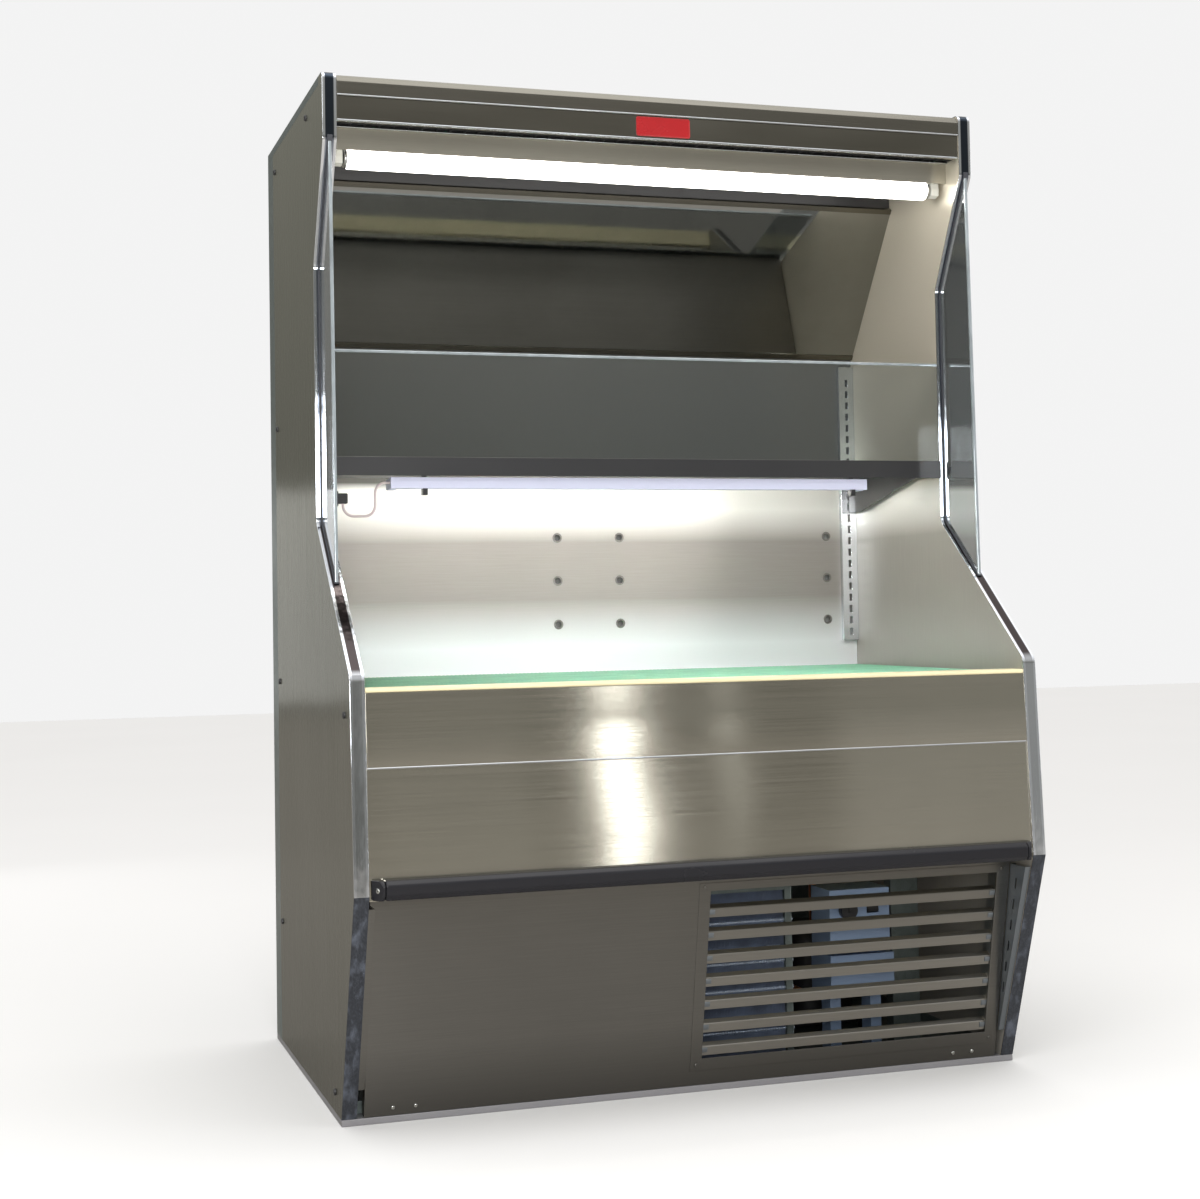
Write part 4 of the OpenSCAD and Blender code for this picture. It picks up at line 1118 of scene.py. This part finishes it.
class CASE_OT_back_wall(PieceOperator, bpy.types.Operator):
    """Finishes the inner back wall, its air grommets and the slotted standards"""

    bl_idname = "case.back_wall"
    bl_label = "Back Wall"

    def build(self, sizes):
        # The wall steel carries bands of painted light and shade by height
        dress("inner_back_wall", "Wall steel", 0.0005)
        pattern = ring("grommet_pattern", (0, -0.0007, 0), (0, 0.0020, 0), 0.0205, 0.0125)
        places = [
            Matrix.Translation((x, WALL_Y, z))
            for z in (0.847, 0.939, 1.030) for x in (-0.552, -0.069, 0.069, 0.552)
        ]
        grommets = scatter(soften(pattern, 0.0006), places, "air_grommets")
        detail(grommets, "inner_back_wall", "black plastic", "Grommet rubber")
        dress("shelf_standards", "Bright metal", 0.0004, 1)


class CASE_OT_shelf(PieceOperator, bpy.types.Operator):
    """Finishes the shelf with its brackets and its clear guard"""

    bl_idname = "case.shelf"
    bl_label = "Shelf"

    def build(self, sizes):
        for name in SIDES:
            dress("shelf_bracket_" + name, "Black satin", 0.0005)
        dress(
            "shelf_panel", "Black satin", 0.0009, 3, second="Lower steel",
            rule=lambda face: face.normal.z > 0.7,
        )
        low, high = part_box("shelf_guard")
        # Painted highlight: a pale strip over the top edge of the clear guard
        edge = block(
            "guard_edge", (low.x, low.y - 0.0008, high.z - 0.0052),
            (high.x, high.y + 0.0008, high.z + 0.0003),
        )
        detail(soften(edge, 0.0016, 4), "shelf_guard", "polished trim", "Polished clear edge")
        dress("shelf_guard", "Clear sheet", 0.0004, name="shelf_guard_sheet")


class CASE_OT_shelf_lamp(PieceOperator, bpy.types.Operator):
    """Makes the lamp under the shelf with its lead, plug and socket"""

    bl_idname = "case.shelf_lamp"
    bl_label = "Shelf Lamp"

    def build(self, sizes):
        self.batten()
        self.tube()
        self.lead()
        dress("lamp_socket", "Black plastic", 0.0015, 3)

    def batten(self):
        """Enamelled batten between its black clips."""
        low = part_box("shelf_lamp_housing")[0]
        under, over, front = low.z + 0.0108, low.z + 0.0334, low.y + 0.0022

        def is_clip(face):
            place = middle(face)
            return place.z < under or place.z > over or place.y < front

        dress(
            "shelf_lamp_housing", "Lamp enamel", 0.0014, 3, name="lamp_batten",
            second="Black plastic", rule=is_clip,
        )

    def tube(self):
        low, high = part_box("shelf_lamp_tube")
        y, z, diameter = (low.y + high.y) / 2, (low.z + high.z) / 2, high.z - low.z
        tube = bar("shelf_tube", low.x + 0.012, high.x - 0.012, y, z, diameter, 32)
        even(tube, 50)
        stand_in(soften(tube, 0.002, 3), "shelf_lamp_tube", "Shelf tube")
        caps = [
            soften(bar("tube_cap", start, start + 0.014, y, z, diameter - 0.0008, 32), 0.0016, 3)
            for start in (low.x, high.x - 0.014)
        ]
        caps = gather(caps, "shelf_tube_caps")
        detail(caps, "shelf_lamp_tube", "bright metal", "Lamp cap")

    def lead(self):
        """Short lead in an open loop from the batten to its plug."""
        low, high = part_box("shelf_lamp_lead")
        y, width, radius = (low.y + high.y) / 2, LEAD_WIDTH, 0.020
        start = Vector((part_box("shelf_lamp_housing")[0].x, y, high.z - width / 2))
        floor = low.z + width / 2
        first, last = start.x - 0.028, start.x - 0.088
        points = [
            start,
            *self.bend(first + radius, y, start.z - radius, radius, 90, 180),
            *self.bend(first - radius, y, floor + radius, radius, 0, -90),
            *self.bend(last + radius, y, floor + radius, radius, 270, 180),
            Vector((last, y, floor + 0.0235)),
        ]
        line = bpy.data.curves.new("shelf_lamp_cord", "CURVE")
        line.dimensions = "3D"
        line.bevel_depth = width / 2
        line.bevel_resolution = 4
        line.use_fill_caps = True
        spline = line.splines.new("POLY")
        spline.points.add(len(points) - 1)
        for target, point in zip(spline.points, points):
            target.co = (*point, 1)
        cord = bpy.data.objects.new("shelf_lamp_cord", line)
        bpy.context.collection.objects.link(cord)
        stand_in(cord, "shelf_lamp_lead", "Lead sheath")
        plug = block(
            "shelf_lamp_plug", (low.x, y - 0.008, floor + 0.023),
            (last + 0.007, y + 0.008, floor + 0.042),
        )
        with editing(plug, "FACE", lambda face: face.normal.x > 0.9):
            bpy.ops.mesh.inset(thickness=0.0018, depth=0.0)
            bpy.ops.transform.translate(value=(0.0012, 0, 0))
        detail(soften(plug, 0.0022, 3), "shelf_lamp_lead", "black plastic", "Black plastic")

    def bend(self, x, y, z, radius, start, end, count=8):
        """Points of a bend in the front view."""
        angles = [math.radians(start + (end - start) * i / count) for i in range(count + 1)]
        return [Vector((x + radius * math.cos(a), y, z + radius * math.sin(a))) for a in angles]


class CASE_OT_deck(PieceOperator, bpy.types.Operator):
    """Finishes the deck trays and lays the net mats"""

    bl_idname = "case.deck"
    bl_label = "Deck"

    def build(self, sizes):
        dress("return_grille", "Front steel", 0.0005)
        for name in SIDES:
            # The deck pans take the wall steel with its bands of painted light and shade
            dress("deck_pan_" + name, "Wall steel", 0.0006)
            self.mat(name, sizes.mesh_pitch, sizes.mesh_strand)

    def mat(self, name, pitch, strand):
        """Net of strands that cross and a thicker rim."""
        low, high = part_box("deck_mat_" + name)
        under, over = low.z + strand / 2, low.z + strand * 1.42
        across, along = high.x - low.x, high.y - low.y
        columns, rows = int(across / pitch), int(along / pitch)
        first = bar("strand", low.x, high.x, low.y + pitch / 2, under, strand, 6)
        repeat(first, rows, (0, (along - pitch) / (rows - 1), 0))
        x = low.x + pitch / 2
        second = rod("strand", (x, low.y, over), (x, high.y, over), strand, 6)
        repeat(second, columns, ((across - pitch) / (columns - 1), 0, 0))
        rim = strand * 1.4
        z, half = low.z + rim / 2, rim / 2
        corners = [
            (low.x + half, low.y + half, z), (high.x - half, low.y + half, z),
            (high.x - half, high.y - half, z), (low.x + half, high.y - half, z),
        ]
        edges = [rod("rim", a, b, rim, 8) for a, b in zip(corners, corners[1:] + corners[:1])]
        net = even(gather([first, second, *edges], "deck_net_" + name), 65)
        stand_in(net, "deck_mat_" + name, "Net mat")


class CASE_OT_well_front(PieceOperator, bpy.types.Operator):
    """Creases the upper front panel and hems the seam below it"""

    bl_idname = "case.well_front"
    bl_label = "Well Front"

    def build(self, sizes):
        dress("front_nosing", "Cream plastic", 0.0006, angle=50)
        upper = merged("front_panel_upper", "front_panel_upper_sheet")
        for height, pull in ((0.6936, 0.0), (0.6694, -sizes.crease)):
            with editing(upper, "VERT"):
                bpy.ops.mesh.select_all(action="SELECT")
                bpy.ops.mesh.bisect(plane_co=(0, 0, height), plane_no=(0, 0, 1))
                bpy.ops.mesh.select_all(action="DESELECT")
                choose(upper, "VERT", lambda point: abs(point.co.z - height) < 1e-4)
                bpy.ops.transform.translate(value=(0, pull, 0))
        stand_in(soften(upper, 0.0005, angle=40), "front_panel_upper", "Front steel")
        dress("front_panel_middle", "Front steel")
        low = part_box("front_panel_upper")[0]
        roll_hem("seam_hem", "front_panel_upper", low.y + 0.0008, low.z + 0.001, 0.0036)


class CASE_OT_bumper(PieceOperator, bpy.types.Operator):
    """Rounds the bumper rail and screws on its end caps"""

    bl_idname = "case.bumper"
    bl_label = "Bumper"

    def build(self, sizes):
        dress("bumper_rail", "Black gloss", 0.0028, 4, 20)
        dress("bumper_end_caps", "Black gloss", 0.0036, 4, 18)
        low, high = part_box("bumper_end_caps")
        slope = Vector((0.022, -0.013, 0)).normalized()
        places = []
        for side in SIDES.values():
            place = Vector((side * (high.x - 0.0085), low.y + 0.0108, (low.z + high.z) / 2))
            way = Vector((slope.x * side, slope.y, 0))
            places.append(facing(place + way * 0.0012, way, spin=0.4))
        screws = scatter(cross_screw("cap_screw_pattern", 0.009, 0.0026), places, "cap_screws")
        detail(screws, "bumper_end_caps", "bright metal", "Zinc bolt")


# Leaning frame of the lower front panel: along X, into the case, and up the panel
PANEL_LOW, PANEL_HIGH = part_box("lower_front_panel")
PANEL_FALL = 0.078
LEAN = math.asin(PANEL_FALL / math.hypot(PANEL_FALL, PANEL_HIGH.z - PANEL_LOW.z - 0.0036))
LEANING = Matrix.Translation((0, PANEL_LOW.y + PANEL_FALL, PANEL_LOW.z)) @ Matrix.Rotation(
    LEAN, 4, "X"
)
GRILLE_LOW, GRILLE_HIGH = 0.050, 0.366
GRILLE_LEFT, GRILLE_RIGHT = (
    corner.x + inward for corner, inward in zip(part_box("grille_louvres"), (0.003, -0.003))
)
LOUVRE_PITCH = (GRILLE_HIGH - GRILLE_LOW - 0.012) / LOUVRES


class CASE_OT_lower_panel(PieceOperator, bpy.types.Operator):
    """Finishes the lower panel, its grille with the frame and the hanger channels"""

    bl_idname = "case.lower_panel"
    bl_label = "Lower Panel and Grille"

    def build(self, sizes):
        dress("lower_front_panel", "Lower steel", 0.0009, 3)
        self.louvres()
        dress(
            "hanger_channels", "Channel steel", 0.0005, second="Lower steel",
            rule=lambda face: middle(face).x < 0,
        )
        self.frame()
        self.tabs()
        self.rivets(sizes.rivet * 0.8)

    def louvres(self):
        """Louvres with a round bend and a short flange that leaves a clear gap."""
        piece = merged("grille_louvres", "bent_louvres")
        piece.data.transform(LEANING.inverted())
        left, right = GRILLE_LEFT - 0.0005, GRILLE_RIGHT + 0.0005
        with editing(
            piece, "VERT",
            lambda point: 0.025 < point.co.y < 0.027 and left < point.co.x < right,
        ):
            bpy.ops.transform.translate(value=(0, -0.0135, -0.0074))
        bends = [GRILLE_LOW + 0.005 + number * LOUVRE_PITCH + 0.0166 for number in range(LOUVRES)]

        def is_bend(edge):
            first, second = (v.co for v in edge.verts)
            return (
                abs(first.x - second.x) > 0.3
                and all(abs(v.y - 0.0024) < 0.0004 for v in (first, second))
                and min(abs(first.z - bend) for bend in bends) < 0.0006
            )

        round_end(piece, is_bend, 0.0019)
        piece.data.transform(LEANING)
        stand_in(soften(piece, 0.0004), "grille_louvres", "Louvre steel")

    def frame(self):
        """Pressed frame round the grille opening."""
        wide, play = 0.022, 0.0002
        piece = block(
            "grille_frame", (GRILLE_LEFT - wide, -0.0013, GRILLE_LOW - wide),
            (GRILLE_RIGHT + wide * 0.8, 0.0004, GRILLE_HIGH + wide * 0.7),
        )
        cut_away(
            piece, (GRILLE_LEFT - play, -0.01, GRILLE_LOW - play),
            (GRILLE_RIGHT + play, 0.01, GRILLE_HIGH + play),
        )
        soften(piece, 0.0006)
        piece.data.transform(LEANING)
        detail(piece, "lower_front_panel", "brushed steel", "Lower steel")

    def tabs(self):
        """Bright tabs that hold both ends of every louvre."""
        tabs = []
        for x in (GRILLE_LEFT, GRILLE_RIGHT - 0.011):
            tab = block(
                "louvre_tab", (x, 0.0012, GRILLE_LOW + 0.0105),
                (x + 0.011, 0.0036, GRILLE_LOW + 0.0195),
            )
            with editing(tab, "FACE", lambda face: face.normal.y < -0.9):
                bpy.ops.mesh.inset(thickness=0.0022, depth=0.0008)
            tabs.append(repeat(soften(tab, 0.0004), LOUVRES, (0, 0, LOUVRE_PITCH)))
        tabs = gather(tabs, "louvre_tabs")
        tabs.data.transform(LEANING)
        detail(tabs, "grille_louvres", "bright metal", "Channel steel")

    def rivets(self, diameter):
        """Rivets at the foot of the panel and at the corners of the grille frame."""
        foot = [
            (side * (PANEL_HIGH.x - inward), 0.014) for side in (-1, 1) for inward in (0.05, 0.09)
        ]
        corners = [
            (x, z) for x in (GRILLE_LEFT - 0.011, GRILLE_RIGHT + 0.009)
            for z in (GRILLE_LOW - 0.011, GRILLE_HIGH + 0.008)
        ]
        for name, spots, front, look in (
            ("foot_rivets", foot, -0.0002, "Zinc bolt"),
            ("frame_rivets", corners, -0.0014, "Lower steel"),
        ):
            places = [LEANING @ facing((x, front, z), (0, -1, 0)) for x, z in spots]
            rivets = scatter(dome_rivet("rivet_pattern", diameter), places, name)
            detail(rivets, "lower_front_panel", "bright metal", look)


class CASE_OT_condenser(PieceOperator, bpy.types.Operator):
    """Makes the condenser coil with its fins and return bends"""

    bl_idname = "case.condenser"
    bl_label = "Condenser"

    def build(self, sizes):
        low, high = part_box("condenser_coil")
        cheek = 0.014
        self.fins(low, high, cheek, sizes.fins)
        self.casing(low, high, cheek)
        self.tubes(low, high)
        dress("condenser_shroud", "Galvanised sheet", 0.0006)
        dress("condenser_fan", "Black plastic", 0.0004)

    def fins(self, low, high, cheek, count):
        """Fins between the cheeks."""
        x, room = low.x + cheek - 0.001, high.x - low.x - 2 * cheek + 0.001
        fin = block(
            "condenser_fins", (x, low.y + 0.003, low.z + 0.006),
            (x + 0.0004, high.y - 0.002, high.z - 0.006),
        )
        fins = repeat(fin, count, (room / count, 0, 0))
        stand_in(fins, "condenser_coil", "Coil fins", slot="coil fins")

    def casing(self, low, high, cheek):
        """Cheeks at both ends of the fins and rails over and under them."""
        pieces = []
        for x in (low.x, high.x - cheek):
            piece = block("cheek", (x, low.y, low.z), (x + cheek, high.y, high.z))
            with editing(piece, "FACE", lambda face: face.normal.y < -0.9):
                bpy.ops.mesh.inset(thickness=0.0022, depth=-0.0012)
            pieces.append(piece)
        for z in (low.z, high.z - 0.008):
            pieces.append(
                block(
                    "rail", (low.x + 0.002, low.y + 0.001, z),
                    (high.x - 0.002, high.y - 0.001, z + 0.008),
                )
            )
        pieces = soften(gather(pieces, "condenser_frame"), 0.0008)
        detail(pieces, "condenser_coil", "galvanised sheet", "Galvanised sheet")

    def tubes(self, low, high):
        """Runs through the front of the fins, an inch apart, with a bend at each end."""
        width, step = 0.0090, 0.0254
        rows = int((high.z - low.z - 0.04) / step) + 1
        y, left, right = low.y + 0.0036 + width / 2, low.x - 0.003, high.x + 0.003
        heights = [low.z + 0.02 + row * step for row in range(rows)]
        runs = [bar("run", left, right, y, z, width, 14) for z in heights]
        for row, z in enumerate(heights[:-1]):
            x, way = (right, 1) if row % 2 else (left, -1)
            runs.append(self.return_bend(x, y, z, step, width, way))
        tubes = even(gather(runs, "condenser_tubes"), 50)
        detail(tubes, "condenser_coil", "bright metal", "Coil tube")

    def return_bend(self, x, y, z, step, width, way):
        """Half turn of tube between two runs."""
        let_go()
        bpy.ops.mesh.primitive_circle_add(
            vertices=14, radius=width / 2, location=(x, y, z), rotation=(0, math.pi / 2, 0)
        )
        bend = settle("return_bend")
        with editing(bend, "VERT"):
            bpy.ops.mesh.select_all(action="SELECT")
            bpy.ops.mesh.spin(
                steps=12, angle=math.pi, center=(x, y, z + step / 2), axis=(0, -way, 0)
            )
            bpy.ops.mesh.select_all(action="SELECT")
            bpy.ops.mesh.remove_doubles(threshold=SAME)
            bpy.ops.mesh.normals_make_consistent(inside=False)
        return bend


class CASE_OT_compressor(PieceOperator, bpy.types.Operator):
    """Enamels the compressor and shows its copper lines"""

    bl_idname = "case.compressor"
    bl_label = "Compressor"

    def build(self, sizes):
        low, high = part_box("compressor")
        radius, foot = 0.085, low.z + 0.026
        axis = Vector((high.x - 0.110, high.y - radius))
        top, line = foot + 0.130 + radius * 0.62, foot + 0.110

        def is_line(face):
            place = middle(face)
            away = math.hypot(place.x - axis.x, place.y - axis.y)
            return place.z > top + 0.001 or (
                abs(place.z - line) < 0.0062 and away > radius + 0.0015
            )

        dress(
            "compressor", "Compressor enamel", 0.0022, 3, name="compressor_unit",
            second="Copper tube", rule=is_line,
        )


class CASE_OT_controls(PieceOperator, bpy.types.Operator):
    """Finishes the control box with its knob, rocker and bolts"""

    bl_idname = "case.controls"
    bl_label = "Controls"

    def build(self, sizes):
        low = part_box("electrical_box")[0]
        height, front = low.z + 0.1274, low.y + 0.0149
        dress(
            "electrical_box", "Control box paint", 0.0012, 3, name="control_box",
            second="Zinc bolt",
            rule=lambda face: abs(middle(face).z - height) < 0.0064 and middle(face).y < front,
        )
        dress("thermostat_knob", "Black plastic", 0.0012, 3)
        dress("light_switch", "Black plastic", 0.0008, 3)
        self.bolts(low.y, height)

    def bolts(self, front, z):
        """Washer and hexagon head on each bolt of the terminal box."""
        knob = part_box("thermostat_knob")
        first, y = (knob[0].x + knob[1].x) / 2 - 0.008, front + 0.015
        pieces = []
        for number in range(3):
            x = first + number * 0.036
            pieces.append(ring("washer", (x, y - 0.0012, z), (x, y + 0.0002, z), 0.019, 0.0126))
            pieces.append(rod("bolt_head", (x, y - 0.0115, z), (x, y - 0.0075, z), 0.0142, 6))
        bolts = soften(gather(pieces, "terminal_bolts"), 0.0005)
        detail(bolts, "electrical_box", "bright metal", "Zinc bolt")


class CASE_OT_tank(PieceOperator, bpy.types.Operator):
    """Finishes the cold tank, the evaporator and its fans"""

    bl_idname = "case.tank"
    bl_label = "Tank"

    def build(self, sizes):
        dress("tank_liner", "White liner")
        dress("tank_rails", "Galvanised sheet")
        clad("evaporator_coil", "Coil fins")
        dress("evap_fan_plate", "Galvanised sheet")
        for name in SIDES:
            dress("evap_fan_" + name, "Black plastic", 0.0004)


class CASE_PT_panel(bpy.types.Panel):
    """Lists the pieces of the case"""

    bl_label = "Display Case"
    bl_idname = "CASE_PT_panel"
    bl_space_type = "VIEW_3D"
    bl_region_type = "UI"
    bl_category = "Display Case"

    def draw(self, context):
        scene = context.scene
        for title, group in (
            ("Colours", scene.case_colours), ("Sizes", scene.case_sizes),
            ("Lights", scene.case_lights),
        ):
            box = self.layout.box()
            box.label(text=title)
            for name in group.bl_rna.properties.keys():
                if name not in ("rna_type", "name"):
                    box.prop(group, name)
        column = self.layout.column(align=True)
        for step in STEPS:
            column.operator(step.bl_idname)


STEPS = (
    CASE_OT_camera, CASE_OT_shelf_lamp, CASE_OT_base, CASE_OT_end_panels, CASE_OT_trims,
    CASE_OT_screws, CASE_OT_wings, CASE_OT_casing, CASE_OT_canopy, CASE_OT_canopy_lamp,
    CASE_OT_mirror, CASE_OT_back_wall, CASE_OT_shelf, CASE_OT_deck, CASE_OT_well_front,
    CASE_OT_bumper, CASE_OT_lower_panel, CASE_OT_condenser, CASE_OT_compressor,
    CASE_OT_controls, CASE_OT_tank, CASE_OT_stage,
)
GROUPS = (CaseColours, CaseSizes, CaseLights)


def register():
    for kind in (*GROUPS, *STEPS, CASE_PT_panel):
        bpy.utils.register_class(kind)
    bpy.types.Scene.case_colours = PointerProperty(type=CaseColours)
    bpy.types.Scene.case_sizes = PointerProperty(type=CaseSizes)
    bpy.types.Scene.case_lights = PointerProperty(type=CaseLights)


def unregister():
    del bpy.types.Scene.case_lights, bpy.types.Scene.case_sizes, bpy.types.Scene.case_colours
    for kind in reversed((*GROUPS, *STEPS, CASE_PT_panel)):
        bpy.utils.unregister_class(kind)


def main():
    register()
    for step in STEPS:
        group, action = step.bl_idname.split(".")
        getattr(getattr(bpy.ops, group), action)()
    let_go()


if __name__ == "__main__":
    main()
